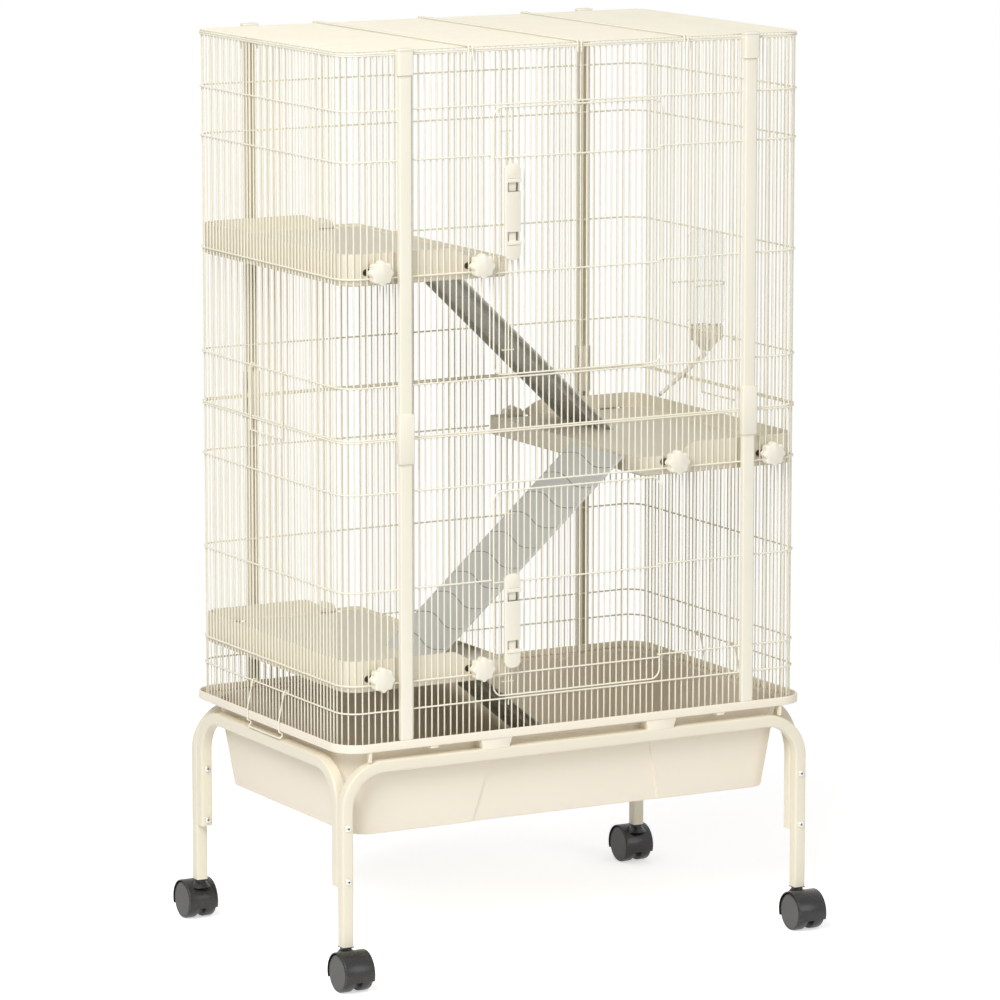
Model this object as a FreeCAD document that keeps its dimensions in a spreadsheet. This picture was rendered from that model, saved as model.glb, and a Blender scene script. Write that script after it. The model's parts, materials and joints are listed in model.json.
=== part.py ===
"""Tall two-tier wire cage for small animals on a rolling stand.

Millimetres, +Z up. The origin is on the floor under the middle of the cage,
+X runs to the right along the door side and +Y from the doors to the back.
"""
import FreeCAD, Part
import math
import os
import re
import Sketcher

# Driving sizes: alias, value, meaning. The sheet holds them as plain numbers.
SIZES = [
    # wire cage
    ("hoop_w", 686.0, "cage width between the centres of its horizontal wires"),
    ("hoop_d", 431.0, "cage depth between the centres of its horizontal wires"),
    ("hoop_corner", 28.0, "plan radius of the bent horizontal wires"),
    ("hoop_wire", 2.3, "thickness of the horizontal wires"),
    ("bar_wire", 2.2, "thickness of the upright wires"),
    ("bar_pitch", 9.2, "distance between upright wires"),
    ("weld_gap", 0.02, "wire to wire distance at a weld"),
    ("run_gap", 0.06, "radial clearance of a turning wire or pin"),
    ("lay_gap", 0.3, "clearance between pieces laid against each other"),
    ("bar_drop", 7.0, "upright wires end this far below the tray's rim"),
    ("hoop_a_rise", 39.0, "from the tray's rim to the lowest horizontal wire, the lower door sill"),
    ("hoop_b_rise", 36.0, "from there to the wire under the lower platform"),
    ("hoop_c_rise", 122.0, "from there to the next wire of the lower tier"),
    ("hoop_d_rise", 127.0, "from there to the lower door head, the wire under the middle platform"),
    ("tier_rise", 69.0, "from there to the joint of the two tiers"),
    ("hoop_e_rise", 69.0, "from there to the upper door sill"),
    ("hoop_f_rise", 140.0, "from there to the wire under the upper platform"),
    ("hoop_g_rise", 149.0, "from there to the next wire of the upper tier"),
    ("hoop_h_rise", 65.0, "from there to the upper door head"),
    ("hoop_top_rise", 70.0, "from there to the top wire of the panels"),
    ("roof_cross_x", 160.0, "distance of the outer roof cross wires from the middle"),
    ("roof_hook_drop", 14.0, "length of the hooks at the ends of the roof cross wires"),
    # corner posts
    ("post_inset", 86.0, "distance of the posts from the side wires"),
    ("post_w", 17.5, "width of a post"),
    ("post_front", 8.5, "reach of a post outside the horizontal wires"),
    ("post_wall", 1.2, "sheet thickness of a post"),
    ("post_bar_inset", 4.6, "distance of the last upright wire from the post's middle"),
    ("cover_wall", 1.1, "wall of the caps and sleeves on the posts"),
    ("cap_tall", 34.0, "height of a post cap"),
    ("cap_rise", 8.0, "a post cap stands this far above the panels' top wire"),
    ("sleeve_tall", 64.0, "height of the sleeve over the joint of two posts"),
    # doors
    ("door_half", 125.2, "half the width of a door between its frame wires"),
    ("door_gap", 4.0, "centre distance from door frame to the wire above or below"),
    ("lower_head_gap", 10.6, "centre distance from the lower door's frame to its head wire"),
    ("door_corner", 13.0, "corner radius of a door frame"),
    ("edge_gap", 4.7, "distance from door frame to the wire at the doorway's edge"),
    ("eye_wire", 2.0, "wire thickness of hinge eyes"),
    ("door_wire_drop", 3.6, "door cross wires lie this much below the panel's"),
    ("guide_wire", 1.8, "wire of the bolt guides on the doors"),
    ("guide_half", 9.0, "half the length of a bolt guide"),
    ("guide_reach", 31.0, "distance of the bolt guides from the door's ends"),
    ("low_guide_reach", 17.5, "distance of the lower door's lower bolt guide from its end"),
    # latches
    ("latch_w", 23.5, "width of a latch plate"),
    ("latch_tall", 125.0, "height of a latch plate"),
    ("latch_thick", 9.0, "thickness of a latch plate"),
    ("latch_round", 8.0, "corner radius of a latch plate"),
    ("upper_latch_rise", 215.4, "middle of the upper latch above its door sill"),
    ("lower_latch_rise", 103.4, "middle of the lower latch above its door sill"),
    ("latch_skin", 2.5, "front wall of a latch plate over its sliders"),
    ("slider_edge", 3.4, "distance from a latch window's left end to the slider"),
    ("slider_w", 11.3, "width of a slider behind the latch plate"),
    ("latch_edge", 10.6, "distance from the bolt's middle to the plate's left edge"),
    ("window_near", 25.2, "inner end of a latch window from the plate's middle"),
    ("window_far", 47.6, "outer end of a latch window from the plate's middle"),
    ("window_edge", 3.0, "plate left standing beside a window"),
    ("bolt_wire", 1.9, "thickness of a bolt"),
    ("bolt_inset", 0.2, "bolts lie this much further in than the upright wires"),
    ("bolt_past", 9.5, "bolts reach this far past the wire that holds them"),
    ("tab_tall", 10.0, "height of a finger tab"),
    ("neck_wide", 4.4, "width of the neck between a bolt and its tab"),
    ("tab_proud", 1.6, "a finger tab stands this far out of its window"),
    # clips
    ("clip_wire", 2.2, "wire of the spring clips"),
    ("tier_clip_drop", 17.0, "a tier clip's bar lies this far below the joint"),
    ("tray_clip_drop", 20.8, "a tray clip's bar lies this far below the rim's top"),
    ("clip_room", 0.45, "room between a clip and what it passes"),
    # tray
    ("rim_out", 9.0, "the tray's rim stands this far outside the horizontal wires"),
    ("rim_corner", 37.0, "corner radius of the tray rim"),
    ("rim_tall", 11.5, "height of the rim from the underside of its flange"),
    ("rim_wall", 3.0, "thickness of the upstanding rim"),
    ("flange_thick", 2.6, "thickness of the rim's flange"),
    ("tub_side_in", 18.0, "the tub lies this far inside the rim at its ends"),
    ("tub_front_in", 19.0, "the tub lies this far inside the rim at its front and back"),
    ("tub_corner", 46.0, "corner radius of the tub under the rim"),
    ("tub_slope", 20.0, "the tub's bottom is this much smaller all round"),
    ("tub_deep", 117.5, "depth of the tub below the rim's flange"),
    ("tub_wall", 2.6, "wall of the tub"),
    ("lug_tall", 12.5, "height of the rest lugs between the rim's flange and the stand"),
    ("lug_x", 124.6, "distance of the rest lugs from the middle"),
    ("lug_half_top", 23.5, "half width of a rest lug at the rim"),
    ("lug_half_low", 19.0, "half width of a rest lug at the tube"),
    ("tab_x", 216.5, "distance of the small rim tabs from the middle"),
    ("tab_half", 6.5, "half width of a small rim tab"),
    ("rim_tab_tall", 3.4, "height of a small rim tab"),
    ("rib_in", 22.0, "distance of the corner ribs from the ends of the tub"),
    ("rib_half", 3.6, "half width of a corner rib"),
    # stand
    ("tube", 16.0, "outside of the square tube"),
    ("tube_wall", 1.2, "wall of the square tube"),
    ("tube_bend", 53.0, "bend radius of the tube at its centre line"),
    ("tube_top_z", 297.0, "height of the top of the stand"),
    ("leg_out", 0.5, "the legs stand this far outside the side wires"),
    ("leg_in", 0.5, "the long legs stand this far inside the front and back wires"),
    ("leg_foot_z", 56.0, "height of the lower ends of the long legs"),
    ("stub_past", 9.0, "the short legs reach this far below the lower screws"),
    ("screw_drop", 84.0, "distance of the upper stand screws from the top of the stand"),
    ("screw_span", 70.5, "distance between the upper and the lower stand screws"),
    ("screw_neck", 5.0, "side of a stand screw's square neck"),
    ("screw_head_r", 4.6, "radius of a stand screw's head"),
    ("screw_head", 2.6, "height of a stand screw's head"),
    ("nut_r", 4.2, "corner radius of a stand nut"),
    ("nut_tall", 4.0, "height of a stand nut"),
    ("screw_hole_room", 0.15, "room around a stand screw in its holes"),
    # casters
    ("socket_flange", 1.3, "thickness of the flange of a leg socket"),
    ("socket_deep", 26.0, "depth of a leg socket in its tube"),
    ("stem_r", 3.0, "radius of a caster stem"),
    ("stem_long", 21.5, "a caster stem reaches this far below its leg"),
    ("wheel_r", 25.0, "radius of a caster wheel"),
    ("wheel_w", 16.0, "width of a caster wheel"),
    ("wheel_gap", 9.0, "distance between the two wheels of a caster"),
    ("axle_r", 2.5, "radius of a caster axle"),
    ("trail", 15.0, "distance of the axle from the swivel axis"),
    ("hood_r", 28.0, "outer radius of a caster hood"),
    ("hood_wall", 1.7, "wall of a caster hood"),
    ("hood_foot", 9.0, "a hood reaches this far below its axle"),
    ("web_gap", 0.3, "room between a wheel and the hood's web"),
    ("collar_r", 7.6, "radius of the collar on a caster hood"),
    # platforms and ramps
    ("deck_inner_x", 100.0, "distance of a platform's open edge from the middle"),
    ("deck_room", 1.0, "room between a platform and the wires around it"),
    ("deck_corner", 24.0, "corner radius of a platform at the cage's corners"),
    ("deck_edge_corner", 10.0, "corner radius of a platform at its open edge"),
    ("deck_sink", 5.0, "a platform's underside lies this far below its wire"),
    ("deck_tall", 37.0, "height of a platform's walls"),
    ("deck_low", 21.0, "height of a platform's wall at its open edge"),
    ("deck_wall", 2.4, "wall of a platform"),
    ("deck_floor", 3.0, "floor of a platform"),
    ("dip_far", 86.0, "distance from a platform's open edge to the start of its wall's dip"),
    ("dip_near", 46.0, "distance from a platform's open edge to the end of its wall's dip"),
    ("knob_rise", 8.0, "height of the knobs above the wire under the platform"),
    ("knob_r", 16.5, "outer radius of a star knob"),
    ("knob_valley_r", 13.4, "radius of a star knob between its lobes"),
    ("knob_thick", 14.0, "thickness of a star knob"),
    ("stud_r", 2.5, "radius of a knob's stud"),
    ("stud_in", 7.0, "a stud reaches this far past the platform's wall"),
    ("stud_room", 0.3, "radial clearance of a stud in the platform"),
    ("ramp_w", 136.0, "width of a ramp"),
    ("ramp_y", 104.0, "distance of a ramp's middle from the middle of the cage"),
    ("ramp_thick", 3.0, "thickness of a ramp's tread"),
    ("ramp_rail", 7.5, "height of the rails under a ramp"),
    ("ramp_rail_w", 3.0, "thickness of the rails under a ramp"),
    ("ramp_rib", 1.4, "height of the ribs under a ramp"),
    ("ramp_rib_w", 3.0, "width of the ribs under a ramp"),
    ("upper_ramp_tilt", 43.5, "slope of the upper ramp in degrees"),
    ("middle_ramp_tilt", 41.5, "slope of the middle ramp in degrees"),
    ("lower_ramp_tilt", 39.5, "slope of the lower ramp in degrees"),
    ("ramp_drop", 3.0, "a ramp's upper edge lies this far under the wall's top"),
    # water bottle
    ("bottle_r", 26.0, "outer radius of the bottle"),
    ("bottle_out", 31.0, "distance of the bottle's axis from the side wires"),
    ("bottle_tall", 120.0, "length of the bottle's body"),
    ("bottle_dome", 14.0, "height of the bottle's rounded end"),
    ("bottle_wall", 1.4, "wall of the bottle"),
    ("neck_r", 19.0, "radius of the bottle's neck"),
    ("neck_tall", 12.0, "length of the bottle's neck"),
    ("bottle_cap_r", 24.0, "radius of the bottle's screw cap"),
    ("bottle_cap_tall", 18.0, "height of the bottle's screw cap"),
    ("nose_tall", 17.0, "height of the cap's tapered nose"),
    ("nose_r", 6.4, "radius of the end of the cap's nose"),
    ("spout_r", 3.2, "outer radius of the drinking tube"),
    ("spout_bore_r", 2.2, "bore radius of the drinking tube"),
    ("spout_long", 90.0, "length of the drinking tube"),
    ("spout_tilt", 35.5, "slope of the drinking tube in degrees"),
    ("holder_rise", 59.0, "height of the bottle holder above the bottle's shoulder"),
    ("holder_hook", 7.0, "length of the holder's bent ends"),
    ("overrun", 2.0, "how far a cut runs past the face it starts from"),
]

# Heights above the floor and plan sizes that follow from the driving sizes
DERIVED = {
    "flange_z": "tube_top_z + lug_tall",
    "foot_z": "flange_z - tub_deep",
    "rim_top_z": "flange_z + rim_tall",
    "bar_foot_z": "rim_top_z - bar_drop",
    "hoop_a_z": "rim_top_z + hoop_a_rise",
    "hoop_b_z": "hoop_a_z + hoop_b_rise",
    "hoop_c_z": "hoop_b_z + hoop_c_rise",
    "hoop_d_z": "hoop_c_z + hoop_d_rise",
    "tier_z": "hoop_d_z + tier_rise",
    "hoop_e_z": "tier_z + hoop_e_rise",
    "hoop_f_z": "hoop_e_z + hoop_f_rise",
    "hoop_g_z": "hoop_f_z + hoop_g_rise",
    "hoop_h_z": "hoop_g_z + hoop_h_rise",
    "hoop_top_z": "hoop_h_z + hoop_top_rise",
    "cap_top_z": "hoop_top_z + cap_rise",
    "upper_latch_z": "hoop_e_z + upper_latch_rise",
    "lower_latch_z": "hoop_a_z + lower_latch_rise",
    "bottle_foot_z": "hoop_e_z",
    "holder_z": "bottle_foot_z + holder_rise",
    "tray_clip_bar_z": "rim_top_z - tray_clip_drop",
    "screw_high_z": "tube_top_z - screw_drop",
    "screw_low_z": "screw_high_z - screw_span",
    "stub_foot_z": "screw_low_z - stub_past",
    "stem_foot_z": "leg_foot_z - stem_long",
    "post_x": "hoop_w / 2 - post_inset",
    "rim_w": "hoop_w + 2 * rim_out",
    "rim_d": "hoop_d + 2 * rim_out",
    "tub_w": "rim_w - 2 * tub_side_in",
    "tub_d": "rim_d - 2 * tub_front_in",
    "rib_x": "tub_w / 2 - rib_in",
    "leg_x": "hoop_w / 2 + leg_out",
    "leg_y": "hoop_d / 2 - leg_in",
    "dip_start_x": "deck_inner_x + dip_far",
    "dip_end_x": "deck_inner_x + dip_near",
}
# Places counted in gaps between wires, and numbers of gaps and ribs
KNOB_FAR_GAPS = 3.5
BOLT_GAPS = 2.5
CLIP_GAPS = 5
BOTTLE_GAPS = 9
DOOR_GAPS = 27
RAMP_RIBS = 9
# Numbers of flats and sides, kept low because wires and casters repeat
CORNER_FLATS = 4
BOTTLE_SIDES = 24
HEAD_SIDES = 12
HOOD_FLATS = 12
WHEEL_SIDES = 24
LOBES = 8

doc = FreeCAD.newDocument("cage")
sheet = doc.addObject("Spreadsheet::Sheet", "sizes")
for row, (alias, value, meaning) in enumerate(SIZES, start=1):
    sheet.set("A%d" % row, alias)
    sheet.set("B%d" % row, "%g" % value)
    sheet.setAlias("B%d" % row, alias)
    sheet.set("C%d" % row, meaning)
doc.recompute()

ALIASES = {alias for alias, value, meaning in SIZES}
NODES = {}
V = FreeCAD.Vector
UP = V(0, 0, 1)
SIDEWAYS = V(1, 0, 0)
INWARD = V(0, 1, 0)


def bind(text):
    """The expression with every size read from the sheet."""
    def read(match):
        word = match.group()
        if word in DERIVED:
            return "(%s)" % bind(DERIVED[word])
        return "sizes." + word if word in ALIASES else word

    return re.sub(r"[a-z_]+", read, text)


def num(text):
    """The present value of an expression in millimetres."""
    return float(sheet.evalExpression(bind(text).replace("sizes.", "")))


def node(label, thing):
    """Name a finished piece, which becomes one exported file."""
    thing.Label = label
    NODES[label] = thing
    return thing


def feature(label, shapes):
    """A node made of one or more separate solids."""
    shapes = list(shapes)
    thing = doc.addObject("Part::Feature", label)
    thing.Shape = shapes[0] if len(shapes) == 1 else Part.makeCompound(shapes)
    return node(label, thing)


def mirrored(shape, normal):
    return shape.mirror(V(0, 0, 0), normal)


def four(shape):
    """A shape and its copies in the other three quarters of the plan."""
    pair = [shape, mirrored(shape, SIDEWAYS)]
    return pair + [mirrored(one, INWARD) for one in pair]


# Sketch helpers

def new_body(label):
    return doc.addObject("PartDesign::Body", label)


def sketch(body, role, height="0"):
    """A sketch on one of the body's own planes, moved along its normal."""
    drawing = body.newObject("Sketcher::SketchObject", body.Name + "_outline")
    plane = [item for item in body.Origin.OriginFeatures if item.Role == role][0]
    drawing.AttachmentSupport = [(plane, "")]
    drawing.MapMode = "FlatFace"
    drawing.setExpression("AttachmentOffset.Base.z", bind(height))
    return drawing


def pin(drawing, item, end, x, y):
    """Hold one point of a sketch at a place given by two expressions."""
    for kind, text in (("DistanceX", x), ("DistanceY", y)):
        row = drawing.addConstraint(Sketcher.Constraint(kind, -1, 1, item, end, num(text)))
        drawing.setExpression("Constraints[%d]" % row, bind(text))


def polygon(drawing, corners):
    """A closed outline of straight lines."""
    places = [V(num(x), num(y), 0) for x, y in corners]
    first = drawing.GeometryCount
    count = len(places)
    for k in range(count):
        drawing.addGeometry(Part.LineSegment(places[k], places[(k + 1) % count]), False)
    for k in range(count):
        after = first + (k + 1) % count
        drawing.addConstraint(Sketcher.Constraint("Coincident", first + k, 2, after, 1))
    for k, (x, y) in enumerate(corners):
        pin(drawing, first + k, 1, x, y)


def rectangle(drawing, left, low, right, high):
    polygon(drawing, [(left, low), (right, low), (right, high), (left, high)])


def rounded(drawing, left, low, right, high, radii):
    """A rectangle with rounded corners: low right, high right, high left, low left."""
    first = drawing.GeometryCount
    turns = [(right, low, -90, "-", "+", "-", "+"), (right, high, 0, "-", "-", "+", "-"),
             (left, high, 90, "+", "-", "-", "+"), (left, low, 180, "+", "+", "+", "-")]
    ends = []
    for (x, y, start, sx, sy, _, _), radius in zip(turns, radii):
        cx, cy = "%s %s %s" % (x, sx, radius), "%s %s %s" % (y, sy, radius)
        along_x, along_y = (cx, y), (x, cy)
        begin, finish = (along_x, along_y) if start in (-90, 90) else (along_y, along_x)
        ends.append((begin, finish, cx, cy, start, radius))
    for k, (begin, finish, cx, cy, start, radius) in enumerate(ends):
        circle = Part.Circle(V(num(cx), num(cy), 0), UP, num(radius))
        arc = Part.ArcOfCircle(circle, math.radians(start), math.radians(start + 90))
        drawing.addGeometry(arc, False)
        after = ends[(k + 1) % len(ends)][0]
        line = Part.LineSegment(V(num(finish[0]), num(finish[1]), 0), V(num(after[0]), num(after[1]), 0))
        drawing.addGeometry(line, False)
    for k, (begin, finish, cx, cy, start, radius) in enumerate(ends):
        arc, line, after = first + 2 * k, first + 2 * k + 1, first + (2 * k + 2) % 8
        drawing.addConstraint(Sketcher.Constraint("Coincident", arc, 2, line, 1))
        drawing.addConstraint(Sketcher.Constraint("Coincident", line, 2, after, 1))
        pin(drawing, arc, 1, *begin)
        pin(drawing, line, 1, *finish)
        row = drawing.addConstraint(Sketcher.Constraint("Radius", arc, num(radius)))
        drawing.setExpression("Constraints[%d]" % row, bind(radius))


def pad(body, drawing, length):
    grown = body.newObject("PartDesign::Pad", body.Name + "_pad")
    grown.Profile = drawing
    grown.setExpression("Length", bind(length))
    doc.recompute()
    return grown


def pocket(body, drawing, length):
    """A cut that runs against the sketch's normal."""
    cut = body.newObject("PartDesign::Pocket", body.Name + "_pocket")
    cut.Profile = drawing
    cut.setExpression("Length", bind(length))
    doc.recompute()
    return cut


def loft(body, kind, low, high):
    skin = body.newObject("PartDesign::" + kind, body.Name + "_loft")
    skin.Profile = low
    skin.Sections = [high]
    skin.Ruled = True
    doc.recompute()
    return skin


# Wire helpers

HOOP_R = num("hoop_wire / 2")
BAR_R = num("bar_wire / 2")
BAR_IN = num("hoop_wire / 2 + bar_wire / 2 + weld_gap")
HALF_W = num("hoop_w / 2")
HALF_D = num("hoop_d / 2")
BAR_Y = HALF_D - BAR_IN
BAR_X = HALF_W - BAR_IN
CORNER = num("hoop_corner")
FLAT_STEP = math.pi / 2 / CORNER_FLATS


def prism(points, depth):
    """A straight prism on a closed outline of points."""
    return Part.Face(Part.makePolygon(points + points[:1])).extrude(depth)


def regular(count, radius, centre, right, up, start=0):
    """Corners of a regular outline in the plane of two directions."""
    turns = [start + 2 * math.pi * k / count for k in range(count)]
    return [centre + right * (radius * math.cos(turn)) + up * (radius * math.sin(turn)) for turn in turns]


def upright(x, y, low, high, turn=0):
    """One upright wire: a slim three-sided prism with a flat towards its hoop."""
    half = 2 * BAR_R / math.sqrt(3)
    wire = prism([V(-half, BAR_R, low), V(0, -BAR_R, low), V(half, BAR_R, low)], V(0, 0, high - low))
    wire.rotate(V(0, 0, 0), UP, turn)
    wire.translate(V(x, y, 0))
    return wire


def level(x0, x1, y, z, side):
    """A straight horizontal wire along X."""
    return Part.makeBox(x1 - x0, side, side, V(x0, y - side / 2, z - side / 2))


def bent(points, side, across):
    """A wire of square section along straight runs with mitred corners."""
    heading = (points[1] - points[0]).normalize()
    wide, tall = across * (side / 2), heading.cross(across) * (side / 2)
    first = points[0]
    section = [first + wide + tall, first - wide + tall, first - wide - tall, first + wide - tall]
    path = Part.makePolygon(points)
    return path.makePipeShell([Part.makePolygon(section + section[:1])], True, False, 1)


def bend(centre, radius, start, right, up):
    """Corner points of a quarter bend made of short flats that touch its circle."""
    turns = [math.radians(start) + FLAT_STEP * (k + 0.5) for k in range(CORNER_FLATS)]
    far = radius / math.cos(FLAT_STEP / 2)
    return [centre + right * (far * math.cos(turn)) + up * (far * math.sin(turn)) for turn in turns]


def eye(centre, axis, start, bore, wire):
    """A closed wire eye around a pin: six-sided outside, round inside."""
    right = start
    up = axis.cross(right)
    base = centre - axis * (wire / 2)
    outer = prism(regular(6, bore + wire, base, right, up, math.pi / 6), axis * wire)
    return outer.cut(Part.makeCylinder(bore, wire, base, axis))


# Side panels: bent round two corners of the cage to the posts

def side_hoop(z):
    x0, xc, yc = num("post_x + run_gap"), HALF_W - CORNER, HALF_D - CORNER
    points = [V(-x0, HALF_D, z)] + bend(V(-xc, yc, z), CORNER, 90, SIDEWAYS, INWARD)
    points += bend(V(-xc, -yc, z), CORNER, 180, SIDEWAYS, INWARD) + [V(-x0, -HALF_D, z)]
    return bent(points, 2 * HOOP_R, UP)


BEND = CORNER - BAR_IN
RUN_X = HALF_W - CORNER - num("post_x + post_bar_inset")
RUN_Y = 2 * (HALF_D - CORNER)
SIDE_PATH = 2 * RUN_X + math.pi * BEND + RUN_Y
SIDE_GAPS = 2 * round((SIDE_PATH / num("bar_pitch") - 1) / 2) + 1
SIDE_PITCH = SIDE_PATH / SIDE_GAPS


def side_place(along):
    """Place and turn of a side panel's upright wire at a distance along the bend."""
    quarter_turn = math.pi * BEND / 2
    xc, yc = HALF_W - CORNER, HALF_D - CORNER
    if along <= RUN_X:
        return -(num("post_x + post_bar_inset") + along), BAR_Y, 0
    if along <= RUN_X + quarter_turn:
        turn = (along - RUN_X) / BEND
        flat = FLAT_STEP * round(turn / FLAT_STEP)
        reach = BEND / math.cos(turn - flat)
        return -xc - reach * math.sin(turn), yc + reach * math.cos(turn), math.degrees(flat)
    if along <= SIDE_PATH / 2:
        return -BAR_X, yc - (along - RUN_X - quarter_turn), 90
    x, y, turn = side_place(SIDE_PATH - along)
    return x, -y, 180 - turn


def side_panel(low, high, heights):
    places = [side_place(k * SIDE_PITCH) for k in range(SIDE_GAPS + 1)]
    return [side_hoop(z) for z in heights] + [upright(x, y, low, high, turn) for x, y, turn in places]


LOWER_LOW = num("bar_foot_z")
LOWER_HIGH = num("tier_z - lay_gap / 2")
UPPER_LOW = num("tier_z + lay_gap / 2")
UPPER_HIGH = num("hoop_top_z + hoop_wire / 2")
LOWER_TOP = num("tier_z - hoop_wire / 2 - lay_gap / 2")
UPPER_FOOT = num("tier_z + hoop_wire / 2 + lay_gap / 2")
LOWER_NAMES = ("hoop_a_z", "hoop_b_z", "hoop_c_z", "hoop_d_z")
UPPER_NAMES = ("hoop_e_z", "hoop_f_z", "hoop_g_z", "hoop_h_z", "hoop_top_z")
LOWER_HOOPS = [num(name) for name in LOWER_NAMES] + [LOWER_TOP]
UPPER_HOOPS = [UPPER_FOOT] + [num(name) for name in UPPER_NAMES]

lower_side = side_panel(LOWER_LOW, LOWER_HIGH, LOWER_HOOPS)
upper_side = side_panel(UPPER_LOW, UPPER_HIGH, UPPER_HOOPS)
feature("left_lower_panel", lower_side)
feature("right_lower_panel", [mirrored(wire, SIDEWAYS) for wire in lower_side])
feature("left_upper_panel", upper_side)
feature("right_upper_panel", [mirrored(wire, SIDEWAYS) for wire in upper_side])

# Back and front panels: flat, between the posts

PANEL_END = num("post_x - run_gap")
LAST_BAR = num("post_x - post_bar_inset")
DOOR_HALF = num("door_half")
DOOR_PITCH = 2 * DOOR_HALF / DOOR_GAPS
EDGE_X = DOOR_HALF + num("edge_gap")
PIN_BORE = num("hoop_wire / 2 + run_gap")
EYE_WIRE = num("eye_wire")


def back_panel(low, high, heights):
    gaps = round(2 * LAST_BAR / num("bar_pitch"))
    step = 2 * LAST_BAR / gaps
    wires = [level(-PANEL_END, PANEL_END, HALF_D, z, 2 * HOOP_R) for z in heights]
    return wires + [upright(-LAST_BAR + k * step, BAR_Y, low, high) for k in range(gaps + 1)]


FRONT_GAPS = int((LAST_BAR - EDGE_X) / num("bar_pitch")) - 1
FRONT_START = LAST_BAR - FRONT_GAPS * num("bar_pitch")


def front_panel(low, high, sill, head, heights):
    """A flat panel with a doorway and, at its right, the eyes that carry the door."""
    wires = []
    for z in heights:
        if sill < z < head:
            pin_at = V(DOOR_HALF, -HALF_D, z)
            right = level(DOOR_HALF + PIN_BORE + EYE_WIRE / 2, PANEL_END, -HALF_D, z, EYE_WIRE)
            wires.append(right.fuse(eye(pin_at, UP, SIDEWAYS, PIN_BORE, EYE_WIRE)))
            wires.append(level(-PANEL_END, -EDGE_X + BAR_R, -HALF_D, z, 2 * HOOP_R))
        else:
            wires.append(level(-PANEL_END, PANEL_END, -HALF_D, z, 2 * HOOP_R))
    for side in (-1, 1):
        wires.append(upright(side * EDGE_X, -BAR_Y, low, high, 180))
        for k in range(FRONT_GAPS + 1):
            wires.append(upright(side * (FRONT_START + k * num("bar_pitch")), -BAR_Y, low, high, 180))
    for k in range(1, DOOR_GAPS):
        x = -DOOR_HALF + k * DOOR_PITCH
        wires.append(upright(x, -BAR_Y, low, sill + HOOP_R, 180))
        wires.append(upright(x, -BAR_Y, head - HOOP_R, high, 180))
    return wires


feature("back_lower_panel", back_panel(LOWER_LOW, LOWER_HIGH, LOWER_HOOPS))
feature("back_upper_panel", back_panel(UPPER_LOW, UPPER_HIGH, UPPER_HOOPS))
feature("front_lower_panel",
        front_panel(LOWER_LOW, LOWER_HIGH, num("hoop_a_z"), num("hoop_d_z"), LOWER_HOOPS))
feature("front_upper_panel",
        front_panel(UPPER_LOW, UPPER_HIGH, num("hoop_e_z"), num("hoop_h_z"), UPPER_HOOPS))

# Roof: an edge ring on the panels, wires along X and three hooked cross wires

ROOF_Z = num("hoop_top_z + hoop_wire + weld_gap")
LAID_Z = ROOF_Z + BAR_IN
CROSS_Z = LAID_Z + BAR_IN


def roof_panel():
    xc, yc = HALF_W - CORNER, HALF_D - CORNER
    points = [V(0, -HALF_D, ROOF_Z)]
    for x, y, start in ((xc, -yc, 270), (xc, yc, 0), (-xc, yc, 90), (-xc, -yc, 180)):
        points += bend(V(x, y, ROOF_Z), CORNER, start, SIDEWAYS, INWARD)
    wires = [bent(points + points[:1], 2 * HOOP_R, UP)]
    gaps = 2 * round(yc / num("bar_pitch"))
    for k in range(gaps + 1):
        wires.append(level(-HALF_W, HALF_W, -yc + k * 2 * yc / gaps, LAID_Z, 2 * BAR_R))
    out = HALF_D + 2 * HOOP_R + num("lay_gap")
    low = CROSS_Z - num("roof_hook_drop")
    for x in (-num("roof_cross_x"), 0, num("roof_cross_x")):
        hooked = [V(x, -out, low), V(x, -out, CROSS_Z), V(x, out, CROSS_Z), V(x, out, low)]
        wires.append(bent(hooked, 2 * HOOP_R, SIDEWAYS))
    return wires


feature("roof_panel", roof_panel())

# Corner posts: shallow channels over the panel joints, with caps and sleeves

POST_LEFT, POST_RIGHT = "(post_x - post_w / 2)", "(post_x + post_w / 2)"
POST_FACE = "-(hoop_d / 2 + post_front)"
POST_EDGE = "-(hoop_d / 2 + hoop_wire / 2 + weld_gap)"


def channel(drawing, left, right, face, wall):
    """A U-shaped section that opens towards the cage; the sizes are its inside."""
    polygon(drawing, [
        (left + " - " + wall, face + " - " + wall), (right + " + " + wall, face + " - " + wall),
        (right + " + " + wall, POST_EDGE), (right, POST_EDGE), (right, face), (left, face),
        (left, POST_EDGE), (left + " - " + wall, POST_EDGE)])


def post(label, low, high):
    """One channel on the front at the right; its web faces outwards."""
    body = new_body(label)
    section = sketch(body, "XY_Plane", low)
    channel(section, POST_LEFT + " + post_wall", POST_RIGHT + " - post_wall", POST_FACE + " + post_wall", "post_wall")
    pad(body, section, "(%s) - (%s)" % (high, low))
    return body


def post_cover(label, low, high, lid):
    """A clip around the outside of a post, closed by a lid where its thickness is given."""
    body = new_body(label)
    section = sketch(body, "XY_Plane", low)
    channel(section, POST_LEFT + " - weld_gap", POST_RIGHT + " + weld_gap", POST_FACE + " - weld_gap", "cover_wall")
    pad(body, section, "(%s) - (%s)" % (high, low))
    if lid:
        top = sketch(body, "XY_Plane", high)
        rectangle(top, POST_LEFT + " - weld_gap - cover_wall", POST_FACE + " - weld_gap - cover_wall",
                  POST_RIGHT + " + weld_gap + cover_wall", "-(hoop_d / 2 - hoop_wire)")
        pad(body, top, lid)
    return body


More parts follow.
